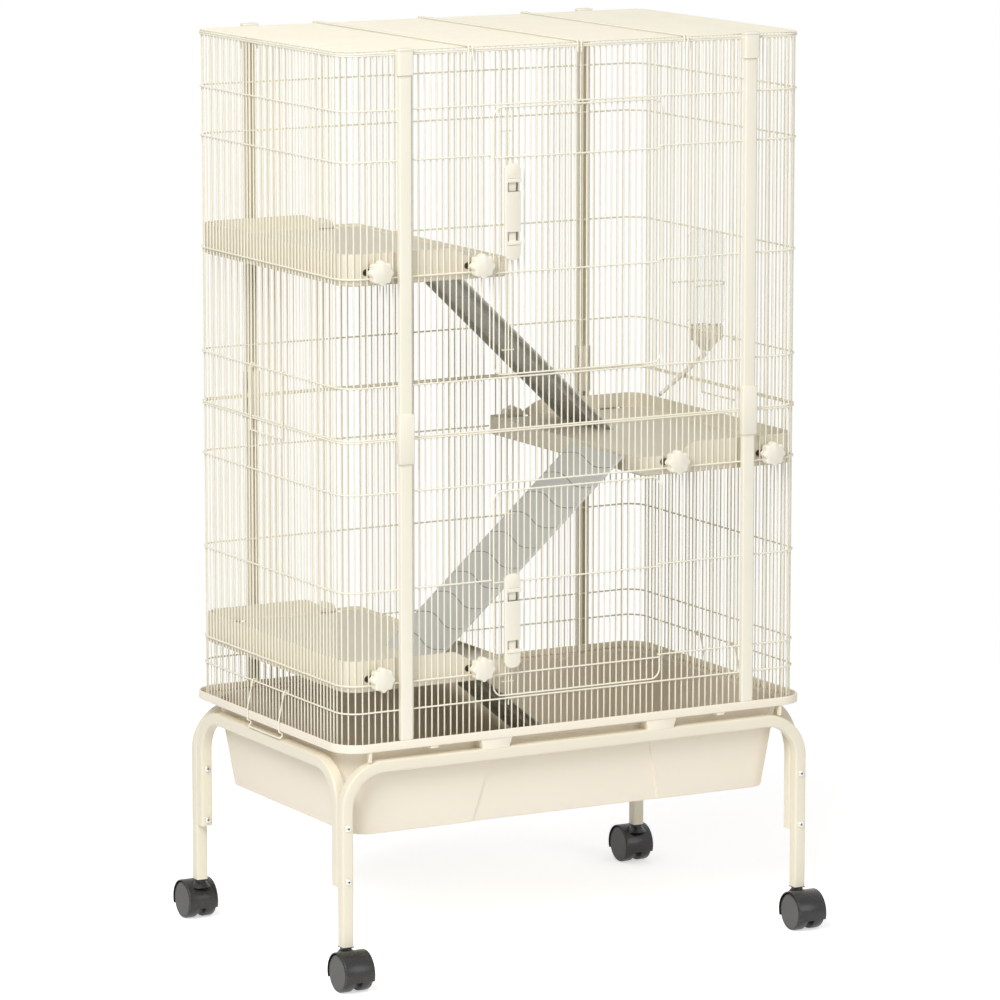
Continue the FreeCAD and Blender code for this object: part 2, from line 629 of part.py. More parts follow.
CAP_EDGE_Z = "(hoop_top_z + 2 * hoop_wire)"
lower_post = post("lower_post_channel", "rim_top_z + lay_gap", "tier_z - lay_gap / 2")
upper_post = post("upper_post_channel", "tier_z + lay_gap / 2", "hoop_top_z + hoop_wire")
cap = post_cover("post_cap_form", "cap_top_z - cap_tall", CAP_EDGE_Z, "cap_top_z - " + CAP_EDGE_Z)
sleeve = post_cover("post_sleeve_form", "tier_z - sleeve_tall / 2", "tier_z + sleeve_tall / 2", None)
feature("posts", four(lower_post.Shape) + four(upper_post.Shape))
feature("post_covers", four(cap.Shape) + four(sleeve.Shape))

# Tray: a tapered tub under a flanged rim, with lugs that rest on the stand

tray = new_body("base_tray")


def centred(drawing, width, depth, radius, inset="0"):
    half_w, half_d = "(%s / 2 - %s)" % (width, inset), "(%s / 2 - %s)" % (depth, inset)
    rounded(drawing, "-" + half_w, "-" + half_d, half_w, half_d, ["(%s - %s)" % (radius, inset)] * 4)


def tub_outline(height, inset):
    outline = sketch(tray, "XY_Plane", height)
    centred(outline, "tub_w", "tub_d", "tub_corner", inset)
    return outline


loft(tray, "AdditiveLoft", tub_outline("foot_z", "tub_slope"), tub_outline("flange_z", "0"))
flange = sketch(tray, "XY_Plane", "flange_z")
centred(flange, "rim_w", "rim_d", "rim_corner")
pad(tray, flange, "flange_thick")
rim = sketch(tray, "XY_Plane", "flange_z + flange_thick")
centred(rim, "rim_w", "rim_d", "rim_corner")
centred(rim, "rim_w", "rim_d", "rim_corner", "rim_wall")
pad(tray, rim, "rim_top_z - flange_z - flange_thick")
LUG_OUT, LUG_IN = "(rim_d / 2 - rim_wall / 2)", "(tub_d / 2 - tub_slope / 4)"
for side in ("", "-"):
    for start in (LUG_IN, "-" + LUG_OUT):
        lugs = sketch(tray, "XZ_Plane", start)
        polygon(lugs, [(side + "(lug_x - lug_half_top)", "flange_z"), (side + "(lug_x - lug_half_low)", "tube_top_z"),
                       (side + "(lug_x + lug_half_low)", "tube_top_z"), (side + "(lug_x + lug_half_top)", "flange_z")])
        rectangle(lugs, side + "(rib_x - rib_half)", "tube_top_z", side + "(rib_x + rib_half)", "flange_z")
        rectangle(lugs, side + "(tab_x - tab_half)", "flange_z - rim_tab_tall", side + "(tab_x + tab_half)", "flange_z")
        pad(tray, lugs, LUG_OUT + " - " + LUG_IN)
loft(tray, "SubtractiveLoft", tub_outline("foot_z + tub_wall", "(tub_slope + tub_wall)"),
     tub_outline("flange_z + flange_thick", "tub_wall"))
node("base_tray", tray)

# Stand: four bent square tubes screwed together at the corners

TUBE = num("tube")
TUBE_BORE = num("tube - 2 * tube_wall")
LEG_X, LEG_Y = num("leg_x"), num("leg_y")
STUB_Y = LEG_Y - TUBE
TOP_BAR_Z = num("tube_top_z - tube / 2")
LEG_FOOT, STUB_FOOT = num("leg_foot_z"), num("stub_foot_z")
SCREW_HEIGHTS = (num("screw_high_z"), num("screw_low_z"))


def square_in_plan(side, x, y, low, tall):
    return Part.makeBox(side, side, tall, V(x - side / 2, y - side / 2, low))


def bent_tube(half, foot, along):
    """An upside-down U in the upright plane through the origin along one direction."""
    radius = num("tube_bend")
    low = TOP_BAR_Z - radius
    mid = radius * (1 - math.sqrt(0.5))

    def place(a, z):
        return along * a + V(0, 0, z)

    left = Part.Arc(place(-half, low), place(-half + mid, TOP_BAR_Z - mid), place(-half + radius, TOP_BAR_Z))
    right = Part.Arc(place(half - radius, TOP_BAR_Z), place(half - mid, TOP_BAR_Z - mid), place(half, low))
    path = Part.Wire([
        Part.makeLine(place(-half, foot), place(-half, low)), left.toShape(),
        Part.makeLine(place(-half + radius, TOP_BAR_Z), place(half - radius, TOP_BAR_Z)), right.toShape(),
        Part.makeLine(place(half, low), place(half, foot))])
    corners = regular(4, TUBE / math.sqrt(2), place(-half, foot), SIDEWAYS, INWARD, math.pi / 4)
    return path.makePipeShell([Part.makePolygon(corners + corners[:1])], True, False)


def stand_frame(label, half, foot, along, shift):
    """A bent tube, open for a plug at both feet and pierced for the screws."""
    shape = bent_tube(half, foot, along)
    hole = num("screw_neck + 2 * screw_hole_room")
    for side in (-half, half):
        at = along * side
        shape = shape.cut(square_in_plan(TUBE_BORE, at.x, at.y, foot, num("socket_deep")))
        for z in SCREW_HEIGHTS:
            shape = shape.cut(Part.makeBox(hole, TUBE, hole, at + V(-hole / 2, -TUBE / 2, z - hole / 2)))
    shape.translate(shift)
    return feature(label, [shape])


stand_frame("stand_front_frame", LEG_X, LEG_FOOT, SIDEWAYS, V(0, -LEG_Y, 0))
stand_frame("stand_back_frame", LEG_X, LEG_FOOT, SIDEWAYS, V(0, LEG_Y, 0))
stand_frame("stand_left_frame", STUB_Y, STUB_FOOT, INWARD, V(-LEG_X, 0, 0))
stand_frame("stand_right_frame", STUB_Y, STUB_FOOT, INWARD, V(LEG_X, 0, 0))


def stand_fasteners():
    """Round-headed screws with square necks through both tubes of a corner, and closed nuts."""
    face, inside = LEG_Y + TUBE / 2, LEG_Y - 3 * TUBE / 2
    neck, head, nut = num("screw_neck"), num("screw_head"), num("nut_tall")
    shapes = []
    for z in SCREW_HEIGHTS:
        disc_points = regular(HEAD_SIDES, num("screw_head_r"), V(LEG_X, -face - head, z), SIDEWAYS, UP)
        shank = Part.makeBox(neck, face - inside, neck, V(LEG_X - neck / 2, -face, z - neck / 2))
        shapes += four(prism(disc_points, V(0, head, 0)).fuse(shank))
        shapes += four(prism(regular(6, num("nut_r"), V(LEG_X, -inside, z), SIDEWAYS, UP), V(0, nut, 0)))
    return shapes


feature("stand_fasteners", stand_fasteners())

# Casters: plugs with stems in the long legs, swivelling hoods, twin wheels

PLUG_FOOT = num("leg_foot_z - socket_flange")


def caster_socket():
    """A flanged plug in a tube end with the stem that carries the caster."""
    flange = square_in_plan(TUBE, LEG_X, -LEG_Y, PLUG_FOOT, num("socket_flange"))
    plug = square_in_plan(TUBE_BORE - num("lay_gap"), LEG_X, -LEG_Y, LEG_FOOT, num("socket_deep - lay_gap"))
    low = num("stem_foot_z")
    stem = Part.makeCylinder(num("stem_r"), PLUG_FOOT - low, V(LEG_X, -LEG_Y, low), UP)
    return flange.fuse(plug).fuse(stem)


feature("caster_sockets", four(caster_socket()))

WHEEL_R = num("wheel_r")
AXLE = V(0, -num("trail"), WHEEL_R)
HOOD_HALF = num("wheel_gap / 2 + wheel_w + web_gap")


def hood_arch(radius):
    """Outline of a hood over its axle, closed by a level line under it."""
    low = math.asin(num("hood_foot") / radius)
    turns = [-low + (math.pi + 2 * low) * k / HOOD_FLATS for k in range(HOOD_FLATS + 1)]
    return [AXLE + INWARD * (radius * math.cos(turn)) + UP * (radius * math.sin(turn)) for turn in turns]


def across(points, half):
    """A prism on an upright outline, to both sides of the swivel axis."""
    return prism([point - SIDEWAYS * half for point in points], SIDEWAYS * (2 * half))


def caster_hood():
    """Hood of a caster whose swivel axis is the Z axis and whose wheels trail to -Y."""
    inner = hood_arch(num("hood_r - hood_wall"))
    form = across(hood_arch(num("hood_r")), HOOD_HALF).cut(across(inner, 2 * HOOD_HALF))
    top = PLUG_FOOT - num("lay_gap")
    collar = prism(regular(8, num("collar_r"), V(0, 0, WHEEL_R), SIDEWAYS, INWARD), V(0, 0, top - WHEEL_R))
    form = form.fuse(collar.cut(across(inner, HOOD_HALF)))
    form = form.fuse(across(inner, num("wheel_gap / 2 - web_gap")))
    half = num("wheel_gap")
    form = form.cut(Part.makeCylinder(num("axle_r + run_gap"), 2 * half, AXLE - V(half, 0, 0), SIDEWAYS))
    foot = num("stem_foot_z - lay_gap")
    form = form.cut(Part.makeCylinder(num("stem_r + run_gap"), top - foot, V(0, 0, foot), UP))
    return form.removeSplitter()


def caster_wheels():
    """Two wheels on one axle."""
    near, wide = num("wheel_gap / 2"), num("wheel_w")
    form = Part.makeCylinder(num("axle_r"), 2 * near, AXLE - V(near, 0, 0), SIDEWAYS)
    for side in (-near - wide, near):
        edge = regular(WHEEL_SIDES, WHEEL_R, AXLE + V(side, 0, 0), INWARD, UP, -math.pi / 2)
        form = form.fuse(prism(edge, V(wide, 0, 0)))
    return form


for side, x in (("left", -LEG_X), ("right", LEG_X)):
    for end, way in (("front", 1), ("back", -1)):
        for shape, name in ((caster_hood(), "hood"), (caster_wheels(), "wheels")):
            if way < 0:
                shape = mirrored(shape, INWARD)
            shape.translate(V(x, -way * LEG_Y, 0))
            feature("%s_%s_caster_%s" % (end, side, name), [shape])

# Platforms: shallow trays whose walls dip at the open edge

KNOB_NEAR = FRONT_START + num("bar_pitch") / 2
KNOB_FAR = num("post_x + post_bar_inset") + KNOB_FAR_GAPS * SIDE_PITCH
DECK_OUT = "(hoop_w / 2 - hoop_wire / 2 - bar_wire - weld_gap - deck_room)"
DECK_DEEP = "(hoop_d / 2 - hoop_wire / 2 - bar_wire - weld_gap - deck_room)"


def platform(label, wire, turn):
    """A platform on the left side; it is turned by half a turn for the right side."""
    body = new_body(label)
    low = "(%s - deck_sink)" % wire
    outline = sketch(body, "XY_Plane", low)
    corners = ["deck_edge_corner", "deck_edge_corner", "deck_corner", "deck_corner"]
    rounded(outline, "-" + DECK_OUT, "-" + DECK_DEEP, "-deck_inner_x", DECK_DEEP, corners)
    pad(body, outline, "deck_tall")
    well = sketch(body, "XY_Plane", low + " + deck_tall")
    rounded(well, "-" + DECK_OUT + " + deck_wall", "-" + DECK_DEEP + " + deck_wall", "-deck_inner_x - deck_wall",
            DECK_DEEP + " - deck_wall", ["(%s - deck_wall)" % corner for corner in corners])
    pocket(body, well, "deck_tall - deck_floor")
    dip = sketch(body, "XZ_Plane", "-%s - overrun" % DECK_DEEP)
    polygon(dip, [("-dip_start_x", low + " + deck_tall"), ("-dip_end_x", low + " + deck_low"),
                  ("-deck_inner_x + overrun", low + " + deck_low"),
                  ("-deck_inner_x + overrun", low + " + deck_tall + overrun"),
                  ("-dip_start_x", low + " + deck_tall + overrun")])
    pocket(body, dip, "2 * %s + 2 * overrun" % DECK_DEEP).Reversed = True
    slots = sketch(body, "XZ_Plane", "-%s - overrun" % DECK_DEEP)
    near = "(post_x - post_bar_inset - %d * bar_pitch + bar_pitch / 2)" % FRONT_GAPS
    far = "(post_x + post_bar_inset + %.9g * bar_pitch)" % (KNOB_FAR_GAPS * SIDE_PITCH / num("bar_pitch"))
    room = "(stud_r + stud_room)"
    for x in (near, far):
        middle = "%s + knob_rise" % wire
        rectangle(slots, "-%s - %s" % (x, room), "%s - %s" % (middle, room),
                  "-%s + %s" % (x, room), "%s + %s" % (middle, room))
    pocket(body, slots, "2 * %s + 2 * overrun" % DECK_DEEP).Reversed = True
    body.Placement = FreeCAD.Placement(V(0, 0, 0), FreeCAD.Rotation(UP, turn))
    return node(label, body)


platform("upper_platform", "hoop_f_z", 0)
platform("middle_platform", "hoop_d_z", 180)
platform("lower_platform", "hoop_b_z", 0)

# Star knobs: eight lobes and a stud between the wires into the platform


def star_knob():
    """A knob in front of the cage whose axis runs along Y through the origin."""
    back = -(HALF_D + HOOP_R + num("lay_gap"))
    face = back - num("knob_thick")
    rim_points = regular(LOBES, num("knob_r"), V(0, face, 0), SIDEWAYS, UP)
    valleys = regular(LOBES, num("knob_valley_r"), V(0, face, 0), SIDEWAYS, UP, math.pi / LOBES)
    star = prism([point for pair in zip(rim_points, valleys) for point in pair], V(0, num("knob_thick"), 0))
    end = -(BAR_Y - BAR_R - num("deck_room + deck_wall + stud_in"))
    stud = prism(regular(LOBES, num("stud_r"), V(0, back, 0), SIDEWAYS, UP), V(0, end - back, 0))
    return star.fuse(stud)


KNOB_SETS = (("upper", "hoop_f_z", -1), ("middle", "hoop_d_z", 1), ("lower", "hoop_b_z", -1))
for name, wire, side in KNOB_SETS:
    for end, way in (("front", 1), ("back", -1)):
        for spot, x in (("inner", KNOB_NEAR), ("outer", KNOB_FAR)):
            knob = star_knob()
            if way < 0:
                knob = mirrored(knob, INWARD)
            knob.translate(V(side * x, 0, num(wire + " + knob_rise")))
            feature("%s_%s_%s_knob" % (name, end, spot), [knob])

# Ramps: smooth treads with rails and ribs below


def ramp(label, wire, floor, tilt, side):
    """A ramp from a platform's open edge down to a floor at a given height."""
    top = num("%s - deck_sink + deck_low - ramp_drop" % wire)
    slope = math.radians(num(tilt))
    thick = num("ramp_thick + ramp_rail")
    drop = top - num(floor) - num("lay_gap") - thick * math.cos(slope)
    length = drop / math.sin(slope)
    width, rail = num("ramp_w"), num("ramp_rail_w")
    slab = Part.makeBox(length, width, num("ramp_thick"), V(0, -width / 2, -num("ramp_thick")))
    for y in (-width / 2, width / 2 - rail):
        slab = slab.fuse(Part.makeBox(length, rail, thick, V(0, y, -thick)))
    under = num("ramp_thick + ramp_rib")
    for k in range(1, RAMP_RIBS + 1):
        at = V(k * length / (RAMP_RIBS + 1) - num("ramp_rib_w") / 2, -width / 2 + rail, -under)
        slab = slab.fuse(Part.makeBox(num("ramp_rib_w"), width - 2 * rail, num("ramp_rib"), at))
    slab = slab.removeSplitter()
    slab.rotate(V(0, 0, 0), INWARD, math.degrees(slope))
    slab.translate(V(-num("deck_inner_x - lay_gap") + thick * math.sin(slope), num("ramp_y"), top))
    if side > 0:
        slab.rotate(V(0, 0, 0), UP, 180)
    return feature(label, [slab])


ramp("upper_ramp", "hoop_f_z", "hoop_d_z - deck_sink + deck_floor", "upper_ramp_tilt", -1)
ramp("middle_ramp", "hoop_d_z", "hoop_b_z - deck_sink + deck_floor", "middle_ramp_tilt", 1)
ramp("lower_ramp", "hoop_b_z", "foot_z + tub_wall", "lower_ramp_tilt", -1)

# Doors: a bent frame wire, a round hinge pin at its right, uprights and cross wires

BOLT_R = num("bolt_wire / 2")
BOLT_X = -DOOR_HALF + BOLT_GAPS * DOOR_PITCH
BOLT_Y = -(BAR_Y - num("bolt_inset"))


def door(label, low, high, crosses, low_guide):
    radius, y = num("door_corner"), -HALF_D
    xc = DOOR_HALF - radius
    points = [V(DOOR_HALF, y, high - radius)] + bend(V(xc, y, high - radius), radius, 0, SIDEWAYS, UP)
    points += bend(V(-xc, y, high - radius), radius, 90, SIDEWAYS, UP)
    points += bend(V(-xc, y, low + radius), radius, 180, SIDEWAYS, UP)
    points += bend(V(xc, y, low + radius), radius, 270, SIDEWAYS, UP) + [V(DOOR_HALF, y, low + radius)]
    wires = [bent(points, 2 * HOOP_R, INWARD)]
    tall = high - low - 2 * radius
    wires.append(Part.makeCylinder(HOOP_R, tall, V(DOOR_HALF, y, low + radius), UP))
    reach = DOOR_HALF - HOOP_R - num("weld_gap")
    wires += [level(-reach, reach, y, z - num("door_wire_drop"), 2 * BAR_R) for z in crosses]
    for k in range(1, DOOR_GAPS):
        wires.append(upright(-DOOR_HALF + k * DOOR_PITCH, -BAR_Y, low - HOOP_R, high + HOOP_R, 180))
    guide, half = num("guide_wire"), num("guide_half")
    behind = BOLT_Y + BOLT_R + num("run_gap") + guide / 2
    for z in (low + num(low_guide), high - num("guide_reach")):
        wires.append(level(BOLT_X - half, BOLT_X + half, behind, z, guide))
    return feature(label, wires)


door("upper_door", num("hoop_e_z + door_gap"), num("hoop_h_z - door_gap"),
     [num("hoop_f_z"), num("hoop_g_z")], "guide_reach")
door("lower_door", num("hoop_a_z + door_gap"), num("hoop_d_z - lower_head_gap"),
     [num("hoop_b_z"), num("hoop_c_z")], "low_guide_reach")

# Latches: a plate on each door with two bolts that are pinched together by their tabs

PLATE_BACK = "(hoop_d / 2 - hoop_wire / 2)"
PLATE_LEFT = "(-door_half + 2 * %g * door_half / %d - latch_edge)" % (BOLT_GAPS, DOOR_GAPS)
PLATE_RIGHT = "(%s + latch_w)" % PLATE_LEFT
SLIDER_LEFT = "(%s + window_edge + slider_edge)" % PLATE_LEFT
SLIDER_RIGHT = "(%s + slider_w)" % SLIDER_LEFT


def latch_plate(label, middle, wire):
    """A hollow plate with two windows, open at the right, and a groove where a door wire passes behind it."""
    body = new_body(label)
    outline = sketch(body, "XZ_Plane", PLATE_BACK)
    rounded(outline, PLATE_LEFT, middle + " - latch_tall / 2", PLATE_RIGHT, middle + " + latch_tall / 2",
            ["latch_round"] * 4)
    pad(body, outline, "latch_thick")
    windows = sketch(body, "XZ_Plane", PLATE_BACK + " + latch_thick")
    for near, far in (("window_near", "window_far"), ("-window_far", "-window_near")):
        rectangle(windows, PLATE_LEFT + " + window_edge", middle + " + " + near, PLATE_RIGHT + " + overrun",
                  middle + " + " + far)
    pocket(body, windows, "latch_thick + overrun")
    hollow = sketch(body, "XZ_Plane", PLATE_BACK)
    rectangle(hollow, SLIDER_LEFT + " - lay_gap", middle + " - window_far", SLIDER_RIGHT + " + lay_gap",
              middle + " + window_far")
    pocket(body, hollow, "latch_thick - latch_skin").Reversed = True
    if wire:
        groove = sketch(body, "XZ_Plane", PLATE_BACK)
        room = "(bar_wire / 2 + lay_gap)"
        rectangle(groove, PLATE_LEFT + " - overrun", "%s - door_wire_drop - %s" % (wire, room),
                  PLATE_RIGHT + " + overrun", "%s - door_wire_drop + %s" % (wire, room))
        pocket(body, groove, "hoop_wire / 2 + bar_wire / 2 + lay_gap").Reversed = True
    return node(label, body)


latch_plate("upper_latch_plate", "upper_latch_z", None)
latch_plate("lower_latch_plate", "lower_latch_z", "hoop_c_z")


def bolt(label, middle, limit, way):
    """A bolt with a finger tab and a slider in its window; way is +1 for up and -1 for down."""
    base = num(middle) + way * num("window_far - lay_gap - tab_tall")
    end = num(limit) + way * num("bolt_past")
    low = base if way > 0 else base - num("tab_tall")
    shaft = square_in_plan(2 * BOLT_R, BOLT_X, BOLT_Y, min(base, end), abs(end - base))
    left = num(PLATE_LEFT + " + window_edge + lay_gap")
    right = num(PLATE_RIGHT + " + tab_proud")
    back, face = -num(PLATE_BACK + " + lay_gap"), -num(PLATE_BACK + " + latch_thick + tab_proud")
    tab = Part.makeBox(right - left, back - face, num("tab_tall"), V(left, face, low))
    wide = num("neck_wide")
    neck = Part.makeBox(wide, BOLT_Y + BOLT_R - back, num("tab_tall"), V(BOLT_X - wide / 2, back, low))
    deep, reach = num("latch_thick - latch_skin - 2 * lay_gap"), base - num(middle) - way * num("window_near")
    slider = Part.makeBox(num("slider_w"), deep, abs(reach), V(num(SLIDER_LEFT), back - deep, min(base, base - reach)))
    return feature(label, [shaft.fuse(tab).fuse(neck).fuse(slider).removeSplitter()])


bolt("upper_door_top_bolt", "upper_latch_z", "hoop_h_z", 1)
bolt("upper_door_bottom_bolt", "upper_latch_z", "hoop_e_z", -1)
bolt("lower_door_top_bolt", "lower_latch_z", "hoop_d_z", 1)
bolt("lower_door_bottom_bolt", "lower_latch_z", "hoop_a_z", -1)

# Spring clips: bent wires that hang on a side wire and hold two pieces together

CLIP_WIRE = num("clip_wire")
CLIP_Y = CLIP_GAPS * SIDE_PITCH
CLIP_BORE = num("hoop_wire") / math.sqrt(2) + num("run_gap")
LEG_OUT = HALF_W + CLIP_BORE + CLIP_WIRE / 2


def clip(label, pivot_z, leg, side):
    """Two eyes on a side wire joined by a bent wire; leg lists (x, z) down one leg."""
    down = [V(-x, CLIP_Y, z) for x, z in leg]
    back = [V(-x, -CLIP_Y, z) for x, z in reversed(leg)]
    shape = bent(down + back, CLIP_WIRE, INWARD)
    for way in (1, -1):
        pivot = V(-HALF_W, way * CLIP_Y, pivot_z)
        ring = eye(pivot, INWARD, SIDEWAYS, CLIP_BORE, CLIP_WIRE)
        shape = shape.cut(Part.makeCylinder(CLIP_BORE, 2 * CLIP_WIRE, pivot - INWARD * CLIP_WIRE, INWARD)).fuse(ring)
    if side > 0:
        shape = mirrored(shape, SIDEWAYS)
    return feature(label, [shape])


TIER_LEG = [(LEG_OUT, num("hoop_e_z")), (LEG_OUT, num("tier_z - tier_clip_drop"))]
RIM_OUT = num("rim_w / 2 + clip_wire / 2 + clip_room")
BAR_Z = num("tray_clip_bar_z")
TRAY_LEG = [(LEG_OUT, num("hoop_a_z")), (RIM_OUT, num("rim_top_z + clip_wire")),
            (RIM_OUT, BAR_Z + 2 * CLIP_WIRE), (RIM_OUT - 2 * CLIP_WIRE, BAR_Z)]
for side, way in (("left", -1), ("right", 1)):
    clip(side + "_tier_clip", num("hoop_e_z"), TIER_LEG, way)
    clip(side + "_tray_clip", num("hoop_a_z"), TRAY_LEG, way)

# Water bottle outside the right panel, with its holder and drinking tube

BOTTLE_X = num("hoop_w / 2 + bottle_out")
BOTTLE_Y = BOTTLE_GAPS * SIDE_PITCH


def turned(rings):
    """A many-sided solid about the bottle's axis through (radius, height) pairs, from the bottom up."""
    loops = [regular(BOTTLE_SIDES, num(radius), V(BOTTLE_X, BOTTLE_Y, num(z)), SIDEWAYS, INWARD) for radius, z in rings]
    outlines = [loops[0], loops[-1]]
    for low, high in zip(loops, loops[1:]):
        for k in range(BOTTLE_SIDES):
            outlines.append([low[k - 1], low[k], high[k], high[k - 1]])
    faces = [Part.Face(Part.makePolygon(points + points[:1])) for points in outlines]
    return Part.makeSolid(Part.makeShell(faces))


NECK_LOW = "(bottle_foot_z - neck_tall)"
BODY_LOW = "(bottle_foot_z + bottle_r - neck_r)"
BODY_TOP = "(bottle_foot_z + bottle_tall)"
CAP_HIGH = "(bottle_foot_z - lay_gap)"
CAP_LOW = "(bottle_foot_z - lay_gap - bottle_cap_tall)"
bottle = turned([("neck_r", NECK_LOW), ("neck_r", "bottle_foot_z"), ("bottle_r", BODY_LOW), ("bottle_r", BODY_TOP),
                 ("bottle_r - bottle_dome / 4", BODY_TOP + " + bottle_dome / 2"),
                 ("bottle_r - bottle_dome", BODY_TOP + " + bottle_dome")])
room = turned([("neck_r - bottle_wall", NECK_LOW), ("neck_r - bottle_wall", "bottle_foot_z"),
               ("bottle_r - bottle_wall", BODY_LOW), ("bottle_r - bottle_wall", BODY_TOP)])
feature("water_bottle", [bottle.cut(room)])
screw_cap = turned([("nose_r", CAP_LOW + " - nose_tall"), ("bottle_cap_r", CAP_LOW), ("bottle_cap_r", CAP_HIGH)])
feature("bottle_cap", [screw_cap.cut(turned([("neck_r + weld_gap", NECK_LOW + " - weld_gap"),
                                             ("neck_r + weld_gap", CAP_HIGH)]))])


def drinking_tube():
    """A bored tube from under the cap's nose through the wires into the cage."""
    slope = math.radians(num("spout_tilt"))
    along = V(-math.cos(slope), 0, -math.sin(slope))
    drop = num("spout_r + weld_gap") / math.cos(slope)
    start = V(BOTTLE_X, BOTTLE_Y, num(CAP_LOW + " - nose_tall") - drop)
    tube = Part.makeCylinder(num("spout_r"), num("spout_long"), start, along)
    return tube.cut(Part.makeCylinder(num("spout_bore_r"), num("spout_long"), start, along))


feature("drinking_tube", [drinking_tube()])


def bottle_holder():
    """A wire round the bottle whose ends pass between the uprights and hook behind them."""
    z = num("holder_z")
    radius = num("bottle_r + lay_gap + clip_wire / 2")
    inside = BAR_X - BAR_R - CLIP_WIRE / 2 - num("lay_gap")
    centre, hook = V(BOTTLE_X, BOTTLE_Y, z), num("holder_hook")
    around = bend(centre, radius, 0, SIDEWAYS, INWARD)
    around = list(reversed(around)) + bend(centre, radius, 0, SIDEWAYS, -INWARD)
    ends = [V(inside, BOTTLE_Y + radius + hook, z), V(inside, BOTTLE_Y + radius, z)]
    far = [V(inside, BOTTLE_Y - radius, z), V(inside, BOTTLE_Y - radius - hook, z)]
    return bent(ends + around + far, CLIP_WIRE, UP)


feature("bottle_holder", [bottle_holder()])

# Check everything, then write one file for each node

doc.recompute()
for thing in doc.Objects:
    if "Invalid" in thing.State or "Error" in thing.State:
        raise RuntimeError("%s failed: %s" % (thing.Name, thing.State))
os.makedirs("parts", exist_ok=True)
for label, thing in NODES.items():
    if thing.Shape.isNull() or not thing.Shape.isValid() or not thing.Shape.Solids:
        raise RuntimeError("%s has no valid solid" % label)
for label, thing in NODES.items():
    thing.Shape.exportStep("parts/%s.step" % label)
print("%d nodes, %d solids" % (len(NODES), sum(len(thing.Shape.Solids) for thing in NODES.values())))
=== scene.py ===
"""Looks of the two-tier wire cage: round wires, moulded plastic, painted tube, casters and a clear bottle."""
import json
import math

import bmesh
import bpy
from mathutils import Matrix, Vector


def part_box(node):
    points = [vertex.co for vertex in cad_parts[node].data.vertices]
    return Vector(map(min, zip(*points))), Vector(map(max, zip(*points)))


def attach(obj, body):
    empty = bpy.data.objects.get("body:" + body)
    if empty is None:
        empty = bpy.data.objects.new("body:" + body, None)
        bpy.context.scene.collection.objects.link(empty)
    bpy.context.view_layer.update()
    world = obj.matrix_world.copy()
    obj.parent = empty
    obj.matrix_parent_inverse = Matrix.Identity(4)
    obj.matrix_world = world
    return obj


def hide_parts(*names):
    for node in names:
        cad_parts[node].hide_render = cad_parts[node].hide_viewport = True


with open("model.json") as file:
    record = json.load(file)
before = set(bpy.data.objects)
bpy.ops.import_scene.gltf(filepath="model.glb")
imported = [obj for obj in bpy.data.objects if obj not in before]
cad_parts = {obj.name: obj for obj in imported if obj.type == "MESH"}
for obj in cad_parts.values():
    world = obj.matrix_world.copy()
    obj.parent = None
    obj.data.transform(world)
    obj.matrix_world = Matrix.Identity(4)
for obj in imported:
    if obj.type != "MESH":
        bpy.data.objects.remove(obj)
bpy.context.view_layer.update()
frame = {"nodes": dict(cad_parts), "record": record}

NODES = frame["nodes"]
BODY_OF = {node: body for body, names in frame["record"]["behaviour"]["bodies"].items() for node in names}
JOINTS = {row["name"]: row for row in frame["record"]["behaviour"]["joints"]}
X, Y, Z = Vector((1, 0, 0)), Vector((0, 1, 0)), Vector((0, 0, 1))
MM = 0.001

# Real sizes of the wires, in millimetres, that the frame doesn't give directly
HOOP_BEND = 28.0         # plan radius of the horizontal wires
DOOR_BEND = 13.0         # corner radius of the door frames
HOOK_BEND = 2.5          # bend of the roof's hooked wires, in radii of the wire
BAR_R = 1.0              # upright wires
EYE_BORE = 1.21          # bore radius of the hinge eyes
ROOF_PITCH = 9.37        # laid wires of the roof
ROOF_DROP = 3.4          # the laid wires lie this far under the roof's top
CROSS_HALF = 2.7         # half the distance between the two wires of a roof cross
LONG, WIRE_BOX, UPRIGHT_RATIO, PRISM_POINTS = 200.0, 4.0, 8.0, 10   # tell the kinds of wire apart
CLIP_R, CLIP_Y, CLIP_BEND = 1.1, 46.1, 2.2
CLIP_OVER, CLIP_JOG, JOG_TOP, JOG_FOOT, TOE_UP, TOE_IN = 2.2, 5.0, 1.0, 3.4, 3.0, 1.0

# Posts, stand and tray
POST_WALL = 1.2          # sheet of the posts and their covers
SHEET_BEND = 1.9         # outer radius of the posts' folds
FOLD_INSIDE = 0.4        # least inner radius of a fold
LID = 3.4                # lid of a post cap
COVER_OUT = 1.3          # the covers stand this much wider than their packed sheet
COVER_EDGE, LID_EDGE, CAP_IN = 0.6, 0.9, 3.5
TUBE_BEND = 53.0         # bend of the stand's tube at its centre line
TUBE_EDGE = 2.4          # rounded edge of the square tube
RIM_WALL, RIM_CORNER, RIM_TALL, RIM_EDGE, FLANGE = 3.0, 37.0, 11.5, 1.3, 2.6
TUB_IN_X, TUB_IN_Y, TUB_CORNER, TUB_SLOPE, TUB_WALL = 18.0, 19.0, 46.0, 20.0, 2.6
TUB_LEAST_CORNER, TUB_FOOT_EDGE, TUB_FLOOR_EDGE, FLOOR_EDGE = 6.0, 2.2, 7.0, 1.5
FILLET_DROP, FILLET_OUT = 1.5, 1.2                         # under the flange
MOUTH = ((0, -1.5), (0.5, -0.4), (2.0, 0))                 # (drop, inset) from the flange into the tub
OUTER_LEVELS, INNER_LEVELS = (230, 265), (280, 240)        # heights of loops on the tub's walls
RECESS_TOP, RECESS_FOOT, RECESS_DEEP = 112.0, 141.0, 2.4   # shallow panel in the tub's front and back
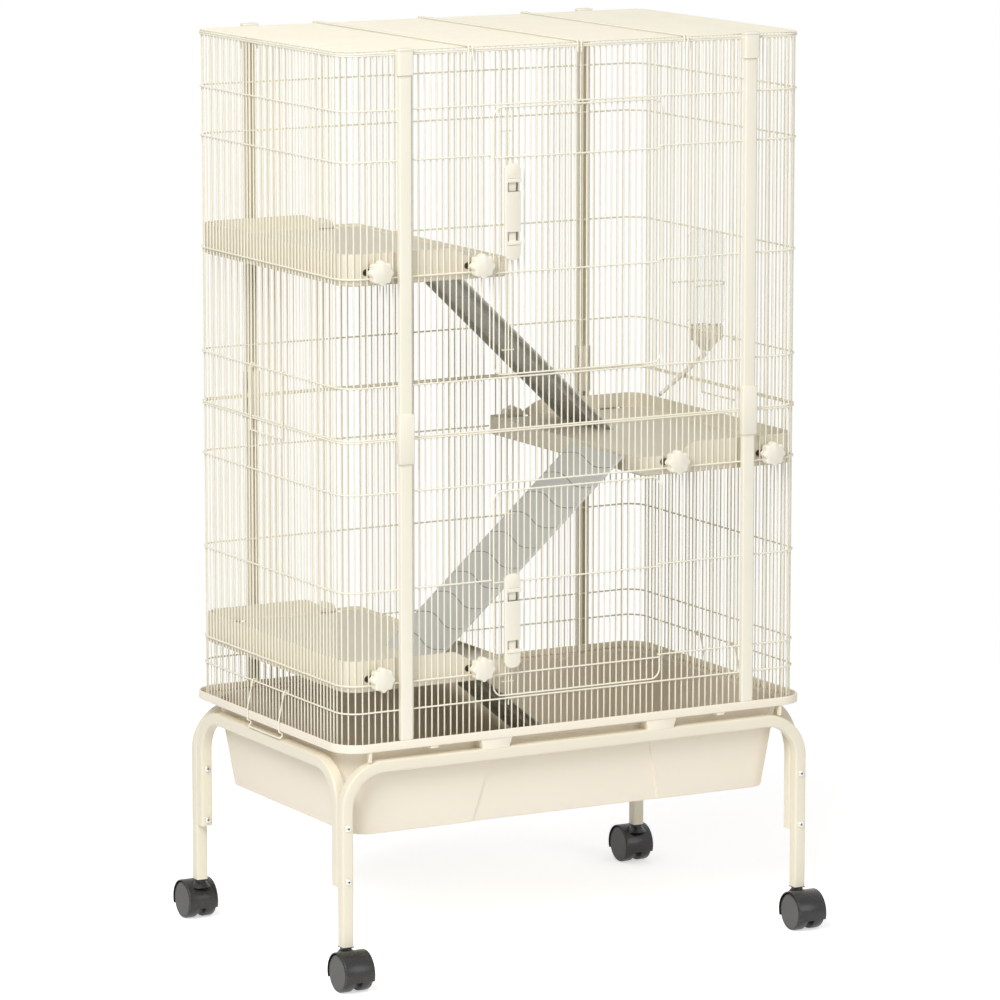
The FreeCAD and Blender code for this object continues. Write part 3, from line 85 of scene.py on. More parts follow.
RECESS_STEP, RECESS_END, RECESS_FADE = 0.9, 9.0, 6.5       # its side step, and its end under the flange
LUG_X, LUG_TOP, LUG_FOOT, LUG_TALL, LUG_EDGE = 124.6, 23.5, 19.0, 12.5, 0.7
TAB_X, TAB_HALF, TAB_TALL, TAB_LEAN = 216.5, 6.5, 3.4, 1.0
RIB_IN, RIB_HALF, RIB_DEEP, RIB_EDGE = 24.0, 1.7, 6.0, 0.5
LUG_SINK = 1.0           # the lugs and ribs reach this far into the tube that they rest on
SINK = 0.5               # joined solids overlap by this much
OVERRUN = 2.0            # cutting tools run past the faces by this much
SHY = 0.1                # cuts that would share a face stay apart by this much

# Platforms, ramps and latches
DECK_CORNER, DECK_EDGE_CORNER, DECK_WALL, DECK_FLOOR, DECK_LOW = 24.0, 10.0, 2.4, 21.0, 25.5
DECK_FOOT_EDGE, DECK_FLOOR_EDGE, DIP_FAR, DIP_NEAR, DIP_STEPS = 3.0, 2.4, 86.0, 46.0, 14
DECK_SKIRT = 4.5         # the platforms' walls reach this far below their packed floor
SLOT_HALF, SLOT_DEEP, SLOT_PLAY = 19.0, 9.0, 2.0   # slots in the platforms, along which the knobs are set
RAMP_TILT = {"upper_ramp": 43.5, "middle_ramp": 41.5, "lower_ramp": 39.5}
RAMP_TREAD, RAMP_RAIL, RAMP_RAIL_W, RAIL_IN = 3.0, 7.5, 3.0, 15.0
RAMP_EDGE, RAMP_SOFT, RAMP_BEVEL, RAMP_STEPS = 1.2, 0.42, 0.6, 32
RAIL_FILLET_IN, RAIL_FILLET_DROP = 1.0, 0.8
LINE_PITCH, FIRST_LINE, LAST_LINE = 37.0, 20.35, 14.0      # wavy grip lines along a ramp
WAVE, CALM = 6.5, 20.0                                     # their wave, which dies out near the ends
GROOVE_HALF, GROOVE_FLOOR, GROOVE_DEEP = 0.65, 0.2, 0.7
RIDGE_PITCH, RIDGE_DEEP, RIDGE_CLEAR = 2.2, 0.55, 1.0      # fine ridges under a ramp
LATCH_ROUND, LATCH_SKIN, LATCH_EDGE, LATCH_BEVEL, LATCH_BACK = 9.5, 2.6, 3.0, 0.9, 0.9
CORE_SHORT, CORE_SIDE, WINDOW_SIDE = 6.0, 0.6, 0.9
WINDOW_NEAR, WINDOW_FAR, LEDGE_TALL = 26.0, 43.2, 5.4      # from the middle of a latch
LEDGE_LEFT, LEDGE_RIGHT, LEDGE_FRONT, LEDGE_PLAY, LEDGE_EDGE = 0.9, 1.0, 0.4, 0.3, 0.6
SLIDER, SLIDER_PLAY, SLIDER_LAP, SLIDER_DROP, SLIDER_EDGE = (-106.2, -94.9), 0.4, 0.8, 0.2, 0.4
BOLT_X, BOLT_WIRE, BOLT_BACK, BOLT_LAP = -102.0, 1.9, 1.2, 1.0
NECK_HALF, NECK_PLAY, NECK_SINK, NECK_SHORT, NECK_EDGE = 2.2, 0.5, 0.3, 0.4, 0.3

# Knobs, screws, casters and bottle
STUD_R, STUD_SINK, STUD_EDGE = 2.5, 0.2, 0.6
KNOB_DEEP, LOBE, LOBES = 14.0, 0.075, 8
KNOB_BACK = ((KNOB_DEEP, 0.9), (13.4, 0.96), (12.0, 0.985))   # (depth behind the face, share of the radius)
KNOB_FRONT = ((2.6, 1.0), (1.2, 0.985), (0.4, 0.95), (0, 0.89))
SCREW_LONG = 10.0        # a fastener's solid that is longer than this is a screw, a shorter one a nut
SCREW_R, SCREW_HEAD_R, SCREW_HEAD, SCREW_SINK, DOME_TIP = 2.4, 4.6, 2.6, 0.2, 0.4
HEAD_SOFT, HEAD_FOOT, HEAD_SIDE, HEAD_RISE = 0.15, 0.4, 0.9, 1.7
NUT_SOFT, NUT_FOOT, NUT_CROWN, NUT_RISE = 0.2, 0.3, 1.8, 1.6
CROSS_ARM, CROSS_THIN = 2.2, 0.55
CROSS_CUT = ((-1.7, 0.8), (0.8, 1.0))                      # (place along the screw, share of the cross)
WHEEL_W, WHEEL_GAP, AXLE_R, AXLE_LAP, HUB_R = 16.0, 9.0, 2.6, 1.0, 0.2
WHEEL_INSIDE = ((3.0, 0), (0.8, 0.8), (0, 2.6))            # (in from the tread, out from the gap)
WHEEL_OUTSIDE = ((0, 2.2), (0.7, 0.8), (2.2, 0.1), (3.4, 0.5))   # (in from the tread, in from the face)
HUB_BACK, HUB_RIM = 1.4, ((3.0, 1.4), (3.0, 0.6), (3.6, 0))
HOOD_WALL, HOOD_FOOT, HOOD_EDGE, WEB_IN, WEB_PLAY = 1.7, 9.0, 0.7, 1.0, 0.3
HOOD_INNER_SHARE = 0.2   # share of the outer edge's rounding that the inner edge has
COLLAR_R, COLLAR_FOOT, COLLAR_SINK, STEM_R = 7.6, 6.5, 8.0, 3.1
COLLAR_STEPS = ((1.4, 3.0), (0, 2.4), (0, 0.5), (-0.5, 0))   # (out from the collar, below its top)
SOCKET_EDGE = 0.35
BOTTLE_NECK, BOTTLE_WALL, BOTTLE_DOME, BOTTLE_FOOT = 19.0, 1.4, 14.0, 12.0
TOP_OUTSIDE, TOP_INSIDE = 0.3, 0.2                         # least radii at the middle of the dome
NECK_STEPS = ((0, -0.5), (0.8, 0.6))                       # (out from the neck, above its end)
SHOULDER = ((2.2, 4.6), (0.6, 6.6), (0, 9.5))              # (in from the wall, above the neck)
CAP_SKIRT, CAP_NOSE, CAP_PLAY, CAP_FLOOR = 18.0, 8.0, 0.3, 1.2
NOSE_STEPS = ((-1.0, 0), (0, 0.8), (1.5, 5.0))             # (out from the nose, above its end)
SKIRT_STEPS = ((5.0, -2.5), (1.5, -0.4), (0.3, 1.5), (0, 3.0))   # (in from the wall, above the skirt)
BRIM_STEPS = ((0, 1.0), (0.8, 0))                          # (in from the wall, below the mouth)
KNURL, KNURL_NEAR, KNURL_SIDES = 0.35, 0.2, 96
SPOUT_R, SPOUT_BORE, SPOUT_TILT, SPOUT_TIP = 3.2, 2.2, 35.5, 24.0
SPOUT_EDGE, SPOUT_END, TIP_LAP = 0.3, 0.4, 1.0
TIP_STEPS = ((0.5, 0.5), (0.9, 0))                         # (in from the tube, before its end)
TIP_IN, HOLDER_PLAY, HOLDER_BEND = 0.6, 0.3, 3.0

# Grain, light and camera, in metres and watts
GRAIN_DEEP = 0.0004
WORLD_LEVEL, FLOOR_LIFT = 0.35, 0.55
FLOOR_REACH, FLOOR_SIDES, FADE_START, FADE_END = 2.6, 96, 0.9, 2.4
SEEN_RAYS = ("Is Camera Ray", "Is Glossy Ray", "Is Transmission Ray")
LAMP_AIM = (0, 0, 0.6)
LAMPS = (("key", (-3.1, -2.6, 3.5), 2.8, 186),             # name, place, size and power
         ("fill", (1.6, -4.2, 2.0), 2.6, 32),
         ("top", (0.3, 0.4, 4.2), 2.6, 6))
LENS, SENSOR = 200.70, 36
VIEW_TARGET = Vector((0.003525, 0, 0.5812))
VIEW_DISTANCE, VIEW_AZIMUTH, VIEW_ELEVATION = 7.47665, 28.972, 9.608


# Mesh building

class Draft:
    """Vertices and faces of one piece while it is being made; lengths are in millimetres."""

    def __init__(self):
        self.verts, self.faces, self.paints = [], [], []

    def ring(self, points):
        start = len(self.verts)
        self.verts += [Vector(point) for point in points]
        return list(range(start, len(self.verts)))

    def face(self, corners, paint=0):
        self.faces.append(tuple(corners))
        self.paints.append(paint)

    def skin(self, rings, closed=False, paint=0, ends=(True, True)):
        """Join rings of equal length; closed joins the last to the first."""
        for low, high in zip(rings, rings[1:] + rings[:1] if closed else rings[1:]):
            for k in range(len(low)):
                after = (k + 1) % len(low)
                self.face((low[k], low[after], high[after], high[k]), paint)
        if not closed and ends[0]:
            self.face(reversed(rings[0]), paint)
        if not closed and ends[1]:
            self.face(rings[-1], paint)

    def loft(self, loops):
        """Join loops of points, and close both ends."""
        self.skin([self.ring(points) for points in loops])

    def tube(self, path, radius, closed=False, sides=10):
        """A round wire along a path, with the section turned as little as the path allows."""
        normal, rings = None, []
        for k, point in enumerate(path):
            before = path[k - 1] if k or closed else point
            after = path[(k + 1) % len(path)] if k < len(path) - 1 or closed else point
            along = (after - before).normalized()
            normal = along.orthogonal() if normal is None else normal
            normal = (normal - along * normal.dot(along)).normalized()
            other = along.cross(normal)
            wheel = [(radius * math.cos(turn), radius * math.sin(turn)) for turn in around(sides)]
            rings.append(self.ring([point + normal * a + other * b for a, b in wheel]))
        self.skin(rings, closed)

    def sweep(self, path, outline, up):
        """Carry an outline of (side, up) pairs along a path that bends in the plane across up."""
        rings = []
        for k, point in enumerate(path):
            into = (point - path[k - 1]).normalized() if k else (path[1] - point).normalized()
            out = (path[k + 1] - point).normalized() if k < len(path) - 1 else into
            along = (into + out).normalized()
            side = along.cross(up).normalized()
            rings.append(self.ring([point + side * (a / along.dot(into)) + up * b for a, b in outline]))
        self.skin(rings)

    def lathe(self, profile, centre, axis, right, sides=48, paint=0, closed=False):
        """Turn (radius, height) pairs about an axis through the centre."""
        front = axis.cross(right)
        rings = [self.ring([centre + axis * height + right * (radius * math.cos(turn))
                            + front * (radius * math.sin(turn)) for turn in around(sides)])
                 for radius, height in profile]
        self.skin(rings, closed, paint)

    def slab(self, outline, place, near, far, edge):
        """A plate with rounded edges; outline(inset) gives points, place(a, b, depth) puts one at a depth."""
        rounding = ((0, 1), (0.3, 0.3), (1, 0))
        levels = [(near + edge * a, edge * b) for a, b in rounding]
        levels += [(far - edge * a, edge * b) for a, b in reversed(rounding)]
        self.loft([place(a, b, depth) for a, b in outline(inset)] for depth, inset in levels)


def around(sides):
    return [2 * math.pi * k / sides for k in range(sides)]


def angles(start, end, steps):
    """Even steps between two angles in degrees, as radians."""
    return [math.radians(start + (end - start) * k / steps) for k in range(steps + 1)]


def arc(centre, radius, start, end, right, up, steps=10):
    """Points of an arc between two angles in degrees."""
    return [centre + right * (radius * math.cos(turn)) + up * (radius * math.sin(turn))
            for turn in angles(start, end, steps)]


def filleted(points, radius, steps=6):
    """A polyline with its corners rounded off."""
    path = [points[0]]
    for before, corner, after in zip(points, points[1:], points[2:]):
        into, out = (before - corner).normalized(), (after - corner).normalized()
        half = into.angle(out) / 2
        cut = min(radius / math.tan(half), 0.49 * min((before - corner).length, (after - corner).length))
        start, end = corner + into * cut, corner + out * cut
        centre = corner + (into + out).normalized() * (cut / math.cos(half))
        for k in range(steps + 1):
            way = (start.lerp(end, k / steps) - centre).normalized()
            path.append(centre + way * (start - centre).length)
    return path + [points[-1]]


def corner_arcs(half_w, half_d, radii, steps):
    """The four rounded corners of a rectangle about its middle, each as a list of points."""
    corners = []
    for quadrant, (a, b) in enumerate(((1, 1), (-1, 1), (-1, -1), (1, -1))):
        radius = radii[quadrant]
        turns = angles(90 * quadrant, 90 * quadrant + 90, steps)
        across, deep = a * (half_w - radius), b * (half_d - radius)
        corners.append([(across + radius * math.cos(turn), deep + radius * math.sin(turn)) for turn in turns])
    return corners


def rounded_box(half_w, half_d, radius, steps=4):
    """Outline of a rectangle with rounded corners, about its middle."""
    return sum(corner_arcs(half_w, half_d, [radius] * 4, steps), [])


def pulled_in(points):
    """An outline whose points can be moved towards its middle."""
    middle = sum((Vector(point) for point in points), Vector((0, 0))) / len(points)

    def outline(inset):
        return [Vector(point) - (Vector(point) - middle).normalized() * inset for point in points]

    return outline


def mesh_of(name, draft):
    """A draft as a mesh in metres, with its faces turned outwards."""
    mesh = bpy.data.meshes.new(name)
    mesh.from_pydata([tuple(vert * MM) for vert in draft.verts], [], draft.faces)
    mesh.polygons.foreach_set("material_index", draft.paints)
    build = bmesh.new()
    build.from_mesh(mesh)
    bmesh.ops.recalc_face_normals(build, faces=build.faces)
    build.to_mesh(mesh)
    build.free()
    return mesh


def linked(name, data):
    """A new object in the scene."""
    item = bpy.data.objects.new(name, data)
    bpy.context.scene.collection.objects.link(item)
    return item


def finish_piece(name, draft, node, materials, sharp=38):
    """Turn a draft into a piece that stands for a node and rides on the node's body."""
    return dress(linked(name, mesh_of(name, draft)), node, materials, sharp)


def dress(piece, node, materials, sharp=38):
    """Give a piece its materials and smooth faces, hang it on its node's body and hide the node."""
    mesh = piece.data
    paints = [face.material_index for face in mesh.polygons]
    mesh.materials.clear()
    for material in materials:
        mesh.materials.append(material)
    mesh.polygons.foreach_set("material_index", paints)
    mesh.polygons.foreach_set("use_smooth", [True] * len(mesh.polygons))
    mesh.set_sharp_from_angle(angle=math.radians(sharp))
    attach(piece, BODY_OF[node])
    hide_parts(node)
    return piece


def carve(piece, draft, paint=0, operation="DIFFERENCE"):
    """Cut a draft's solids out of a piece, or join them to it."""
    mesh = mesh_of("cutter", draft)
    mesh.polygons.foreach_set("material_index", [paint] * len(mesh.polygons))
    for _ in range(len(piece.data.materials)):
        mesh.materials.append(None)
    cutter = linked("cutter", mesh)
    cut = piece.modifiers.new("cut", "BOOLEAN")
    cut.operation, cut.object, cut.solver = operation, cutter, "EXACT"
    graph = bpy.context.evaluated_depsgraph_get()
    result = bpy.data.meshes.new_from_object(piece.evaluated_get(graph))
    piece.modifiers.clear()
    piece.data = result
    bpy.data.objects.remove(cutter)


def solids_of(node):
    """The mesh of a node as it stands in the frame, with its double points joined."""
    build = bmesh.new()
    build.from_mesh(NODES[node].data)
    build.transform(NODES[node].matrix_world)
    bmesh.ops.remove_doubles(build, verts=build.verts, dist=1e-6)
    return build


def softened(node, material, width, segments=3, angle=35):
    """A copy of a node whose edges are rounded off."""
    build = solids_of(node)
    bmesh.ops.dissolve_limit(build, angle_limit=math.radians(1), verts=build.verts, edges=build.edges)
    mesh = bpy.data.meshes.new("soft_" + node)
    build.to_mesh(mesh)
    build.free()
    piece = linked("soft_" + node, mesh)
    rounding = piece.modifiers.new("rounded edges", "BEVEL")
    rounding.width, rounding.segments = width * MM, segments
    rounding.limit_method, rounding.angle_limit = "ANGLE", math.radians(angle)
    rounding.harden_normals = True
    return dress(piece, node, [material])


def box_of(node):
    """Lowest and highest corner of a node in millimetres."""
    return [Vector(corner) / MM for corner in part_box(node)]


def loose_parts(node):
    """Lowest corner, highest corner and vertices of each separate solid in a node, in millimetres."""
    build = solids_of(node)
    seen, parts = set(), []
    for first in build.verts:
        if first in seen:
            continue
        seen.add(first)
        stack, members = [first], []
        while stack:
            vert = stack.pop()
            members.append(vert.co / MM)
            for edge in vert.link_edges:
                other = edge.other_vert(vert)
                if other not in seen:
                    seen.add(other)
                    stack.append(other)
        low = Vector([min(co[k] for co in members) for k in range(3)])
        high = Vector([max(co[k] for co in members) for k in range(3)])
        parts.append((low, high, members))
    build.free()
    return parts


def nodes_ending(*endings):
    """Names of the nodes that end in one of these words."""
    return [name for name in NODES if name.endswith(endings)]


# Materials

def colour(red, green, blue):
    """A colour as seen on a screen, from 0 to 255, in linear values."""
    def linear(value):
        value /= 255
        return value / 12.92 if value <= 0.04045 else ((value + 0.055) / 1.055) ** 2.4
    return linear(red), linear(green), linear(blue), 1


def add_node(nodes, kind, values):
    """A new shader node with the values of its inputs."""
    node = nodes.new("ShaderNode" + kind)
    for name, value in values.items():
        node.inputs[name].default_value = value
    return node


def surface(name, base, deep, roughness, swing, grain_scale, grain, cloud_scale=6.0, metallic=0.0):
    """Two close colours mixed by soft clouds, with fine grain in roughness and bump."""
    material = bpy.data.materials.new(name)
    material.use_nodes = True
    nodes, links = material.node_tree.nodes, material.node_tree.links
    shader = nodes["Principled BSDF"]
    shader.inputs["Metallic"].default_value = metallic
    place = nodes.new("ShaderNodeTexCoord")
    clouds = add_node(nodes, "TexNoise", {"Scale": cloud_scale, "Detail": 4})
    mix = nodes.new("ShaderNodeMix")
    mix.data_type = "RGBA"
    mix.inputs["A"].default_value = colour(*base)
    mix.inputs["B"].default_value = colour(*deep)
    links.new(place.outputs["Object"], clouds.inputs["Vector"])
    links.new(clouds.outputs["Fac"], mix.inputs["Factor"])
    links.new(mix.outputs["Result"], shader.inputs["Base Color"])
    fine = add_node(nodes, "TexNoise", {"Scale": grain_scale, "Detail": 2})
    links.new(place.outputs["Object"], fine.inputs["Vector"])
    spread = add_node(nodes, "MapRange", {"To Min": roughness - swing, "To Max": roughness + swing})
    links.new(fine.outputs["Fac"], spread.inputs["Value"])
    links.new(spread.outputs["Result"], shader.inputs["Roughness"])
    bump = add_node(nodes, "Bump", {"Strength": grain, "Distance": GRAIN_DEEP})
    links.new(fine.outputs["Fac"], bump.inputs["Height"])
    links.new(bump.outputs["Normal"], shader.inputs["Normal"])
    return material


WIRE = surface("wire_paint", (247, 242, 224), (239, 233, 213), 0.38, 0.08, 900, 0.1, 30)
POST = surface("post_paint", (244, 239, 222), (239, 233, 215), 0.42, 0.08, 700, 0.1, 14)
# Painted shade: a darker cream for the inner faces of the posts' channels, standing in for the shade in their
# hollow
POST_INSIDE_SHADE = surface("post_inside_painted_shade", (214, 204, 182), (202, 192, 169), 0.5, 0.08, 700, 0.1, 14)
STAND = surface("stand_paint", (239, 232, 212), (233, 225, 204), 0.40, 0.08, 700, 0.1, 12)
TRAY = surface("tray_plastic", (248, 239, 222), (244, 234, 216), 0.5, 0.07, 1200, 0.15, 5)
# Painted shade: a darker taupe for the tub's inside, standing in for the shade under the wires and platforms
TRAY_INSIDE_SHADE = surface("tray_inside_painted_shade", (222, 212, 191), (211, 200, 179), 0.55, 0.07, 1200, 0.15, 7)
# A greyer cream than the trim, darkened as painted shade for the platforms inside the cage
DECK_PAINTED_SHADE = surface("platform_plastic", (229, 222, 204), (222, 215, 196), 0.5, 0.07, 1200, 0.15, 8)
TRIM = surface("trim_plastic", (245, 240, 224), (240, 234, 217), 0.36, 0.06, 1000, 0.1, 20)
RAMP = surface("ramp_plastic", (208, 209, 204), (199, 200, 195), 0.6, 0.08, 1100, 0.2, 8)
# Painted shade: a darker grey for the faces of the wavy grooves, standing in for the shade inside them
RAMP_GROOVE_SHADE = surface("ramp_groove_painted_shade", (158, 158, 154), (148, 148, 144), 0.7, 0.08, 1100, 0.2, 8)
# Painted shade: the ramp's own grey, darkened for its underside and sides, which get no light from below
RAMP_UNDER_SHADE = surface("ramp_underside_painted_shade", (190, 189, 182), (176, 175, 168), 0.6, 0.08, 1100, 0.2, 8)
CAP = surface("cap_plastic", (236, 231, 218), (226, 220, 206), 0.42, 0.06, 1000, 0.1, 20)
BLACK = surface("caster_plastic", (36, 35, 34), (25, 25, 25), 0.28, 0.08, 900, 0.15, 20)
RUBBER = surface("wheel_rubber", (88, 88, 86), (77, 77, 75), 0.6, 0.08, 800, 0.25, 25)
STEEL = surface("plated_steel", (232, 230, 224), (214, 212, 206), 0.34, 0.1, 900, 0.1, 40, 0.75)
# Painted shade: a near black for the walls of the cross recesses, where shade falls
RECESS_SHADE = surface("screw_recess_painted_shade", (58, 54, 50), (44, 41, 38), 0.5, 0.1, 900, 0.1, 40)
# Painted shade: a dark tone for the walls and floors of the latch windows and the knob slots, where shade
# falls
POCKET_SHADE = surface("pocket_painted_shade", (138, 128, 112), (122, 113, 98), 0.6, 0.08, 900, 0.1, 30)


def clear_plastic():
    """Clear bottle wall with a faint cloudiness."""
    material = surface("bottle_clear", (252, 252, 251), (248, 249, 248), 0.08, 0.04, 300, 0.03, 12)
    shader = material.node_tree.nodes["Principled BSDF"]
    shader.inputs["Transmission Weight"].default_value = 0.97
    shader.inputs["IOR"].default_value = 1.05
    return material


CLEAR = clear_plastic()


# Wire panels, doors and roof

def side_path(low, high, sign):
    """Centre line of a bent wire of a side panel, from the back post to the front post."""
    radius, z = (high.z - low.z) / 2, (low.z + high.z) / 2
    out_x, out_y = max(abs(low.x), abs(high.x)) - radius, high.y - radius
    inner = min(abs(low.x), abs(high.x))
    right = X * sign
    back = Vector((sign * (out_x - HOOP_BEND), out_y - HOOP_BEND, z))
    front = Vector((back.x, -back.y, z))
    path = [Vector((sign * inner, out_y, z))] + arc(back, HOOP_BEND, 90, 0, right, Y)
    return path + arc(front, HOOP_BEND, 0, -90, right, Y) + [Vector((sign * inner, -out_y, z))]


def frame_path(low, high, bend, radius, right, up, flat):
    """Closed centre line of a rounded frame; flat lies in its plane."""
    a0, a1 = low.dot(right) + radius + bend, high.dot(right) - radius - bend
    b0, b1 = low.dot(up) + radius + bend, high.dot(up) - radius - bend
    path = []
    for start, a, b in ((0, a1, b1), (90, a0, b1), (180, a0, b0), (270, a1, b0)):
        path += arc(flat + right * a + up * b, bend, start, start + 90, right, up)
    return path


def hinge_eye_wire(draft, low, high):
    """A wire of a front panel whose end is wound round the door's hinge wire."""
    radius, z = (high.z - low.z) / 2, (low.z + high.z) / 2
    hinge = JOINTS["upper_door_hinge"]["pos_m"]
    centre = Vector((hinge[0] / MM, hinge[1] / MM, z))
    wind = EYE_BORE + radius
    draft.tube(arc(centre, wind, 0, 324, X, Y, 18), radius, closed=True)
    draft.tube([centre + X * wind, Vector((high.x, centre.y, z))], radius)


def add_wire(draft, low, high, members):
    """Draw one solid of a wire node as the round wire that it stands for."""
    size, middle = high - low, (low + high) / 2
    radius = min(size) / 2
    if size.z > UPRIGHT_RATIO * max(size.x, size.y):
        # A door's hinge wire has more points than a prism, and is drawn as a side of the door's frame
        if len(members) < PRISM_POINTS:
            centre = sum(members, Vector()) / len(members)
            draft.tube([Vector((centre.x, centre.y, z)) for z in (low.z, high.z)], BAR_R, sides=8)
    elif size.y > LONG and size.x > LONG:
        flat = Vector((0, 0, middle.z))
        draft.tube(frame_path(low, high, HOOP_BEND, radius, X, Y, flat), radius, closed=True)
    elif size.y > LONG and size.z < WIRE_BOX:
        draft.tube(side_path(low, high, 1 if middle.x > 0 else -1), radius)
    elif size.y > LONG:
        hook = [(low.y + radius, low.z), (low.y + radius, high.z - radius),
                (high.y - radius, high.z - radius), (high.y - radius, low.z)]
        for shift in (-CROSS_HALF, CROSS_HALF):
            corners = [Vector((middle.x + shift, y, z)) for y, z in hook]
            draft.tube(filleted(corners, HOOK_BEND * radius), radius)
    elif size.z > LONG:
        flat = Vector((0, middle.y, 0))
        draft.tube(frame_path(low, high, DOOR_BEND, radius, X, Z, flat), radius, closed=True)
    elif size.y > 2 * size.z:
        hinge_eye_wire(draft, low, high)
    else:
        draft.tube([Vector((x, middle.y, middle.z)) for x in (low.x, high.x)], radius)


def edge_wires(draft):
    """Laid wires of the roof between its straight rows and its bent edge."""
    low, high = box_of("left_upper_panel")
    straight = [part[0].y for part in loose_parts("roof_panel") if part[1].y - part[0].y < WIRE_BOX]
    laid = max(abs(y) for y in straight) - BAR_R
    z = box_of("roof_panel")[1].z - ROOF_DROP
    bend_y, bend_x = high.y - BAR_R - HOOP_BEND, -low.x - BAR_R - HOOP_BEND
    for row in (1, 2):
        y = laid + row * ROOF_PITCH
        end = bend_x + math.sqrt(HOOP_BEND ** 2 - (y - bend_y) ** 2)
        for way in (-1, 1):
            draft.tube([Vector((-end, way * y, z)), Vector((end, way * y, z))], BAR_R)


for name in nodes_ending("_panel", "_door"):
    draft = Draft()
    for low, high, members in loose_parts(name):
        add_wire(draft, low, high, members)
    if name == "roof_panel":
        edge_wires(draft)
    finish_piece(name + "_wires", draft, name, [WIRE])


# Posts, sleeves and caps: folded sheet

def channel(draft, low, high, wall, lip=0.0):
    """A folded channel that is open towards the cage."""
    way = 1 if low.y + high.y > 0 else -1
    middle, half = (low.x + high.x) / 2, (high.x - low.x) / 2
    face, deep = (high.y if way > 0 else low.y), high.y - low.y
    bend = max(SHEET_BEND, wall + FOLD_INSIDE)

    def fold(radius):
        return [(half - bend + radius * math.sin(turn), bend - radius * math.cos(turn))
                for turn in angles(0, 90, 6)]

    right = fold(bend)
    half_outline = right + [(half, deep), (half - wall, deep)] + fold(bend - wall)[::-1]
    outline = half_outline + [(-a, b) for a, b in reversed(half_outline)]
    lower, upper = [draft.ring([Vector((middle + a, face - way * b, z)) for a, b in outline])
                    for z in (low.z, high.z - lip)]
    for k in range(len(outline)):
        after = (k + 1) % len(outline)
        # Faces inside the fold take the second material, the painted shade of the channel's hollow
        inside = len(right) < k < len(outline) - len(right) - 2
        draft.face((lower[k], lower[after], upper[after], upper[k]), 1 if inside else 0)
    draft.face(reversed(lower))
    draft.face(upper)


def post_cover(draft, low, high):
    """A closed sleeve at the tier joint, or a cap with a lid on top of a post."""
    way = 1 if low.y > 0 else -1
    spread = (X + Y) * COVER_OUT
    corners = [low - spread, high + spread]
    inner = corners[0 if way > 0 else 1]
    near = min(abs(low.y), abs(high.y))
    inner.y = way * near
    centre, half = (corners[0] + corners[1]) / 2, (corners[1] - corners[0]) / 2

    def outline(inset):
        return rounded_box(half.x - inset, half.y - inset, SHEET_BEND)

    def place(a, b, z):
        return Vector((centre.x + a, centre.y + b, z))

    if high.z > box_of("posts")[1].z:
        inner.y = way * (near + CAP_IN)
        channel(draft, *corners, POST_WALL + COVER_OUT, LID)
        draft.slab(outline, place, high.z - LID, high.z, LID_EDGE)
    else:
        draft.slab(outline, place, low.z, high.z, COVER_EDGE)


draft = Draft()
for low, high, _ in loose_parts("posts"):
    channel(draft, low, high, POST_WALL)
finish_piece("folded_posts", draft, "posts", [POST, POST_INSIDE_SHADE])

draft = Draft()
for low, high, _ in loose_parts("post_covers"):
    post_cover(draft, low, high)
finish_piece("folded_post_covers", draft, "post_covers", [POST, POST_INSIDE_SHADE])


# Tray: rounded loops from the underside over the rim to the floor inside

TRAY_LOW, TRAY_HIGH = box_of("base_tray")
FLANGE_Z = TRAY_HIGH.z - RIM_TALL
TUB_DEEP = FLANGE_Z - TRAY_LOW.z


def plan_loop(half_w, half_d, radii, z, breaks, steps=12):
    """A rounded rectangle in plan; breaks lists (x, inset) along the front and the back."""
    points = []
    for quadrant, corner in enumerate(corner_arcs(half_w, half_d, radii, steps)):
        if quadrant % 2:
            side = 2 - quadrant
            order = sorted(breaks, reverse=side > 0)
            points += [Vector((x, side * (half_d - inset), z)) for x, inset in order]
        points += [Vector((x, y, z)) for x, y in corner]
    return points


def tub_loop(z, inset=0.0, recess=0.0, inner=False):
    """A loop of the tub's wall; inset moves it in from the wall's own slope."""
    rim = FLANGE_Z + FLANGE if inner else FLANGE_Z
    lean = TUB_SLOPE * (rim - z) / TUB_DEEP + inset + (TUB_WALL if inner else 0)
    half_w, half_d = TRAY_HIGH.x - TUB_IN_X - lean, TRAY_HIGH.y - TUB_IN_Y - lean
    share = (z - TRAY_LOW.z) / TUB_DEEP
    edge = RECESS_FOOT + (RECESS_TOP - RECESS_FOOT) * share
    breaks = [(-edge - RECESS_STEP, 0), (-edge, recess), (edge, recess), (edge + RECESS_STEP, 0)]
    return plan_loop(half_w, half_d, [max(TUB_CORNER - lean, TUB_LEAST_CORNER)] * 4, z, breaks)


def rim_loop(z, inset):
    """A loop of the rim, with as many points as a loop of the tub."""
    step = RECESS_TOP + RECESS_STEP
    breaks = [(x, 0) for x in (-step, -RECESS_TOP, RECESS_TOP, step)]
    return plan_loop(TRAY_HIGH.x - inset, TRAY_HIGH.y - inset, [RIM_CORNER - inset] * 4, z, breaks)


def quarter(radius, steps=4):
    """Pairs (in, up) of a rounded edge, from level to upright."""
    return [(radius * (1 - math.sin(turn)), radius * (1 - math.cos(turn))) for turn in angles(0, 90, steps)]


def half_round(wall, steps):
    """Pairs (in, up) over the top of a wall, from its outside to its inside."""
    lip = wall / 2
    return [(lip - lip * math.cos(turn), lip * math.sin(turn) - lip) for turn in angles(0, 180, steps)]


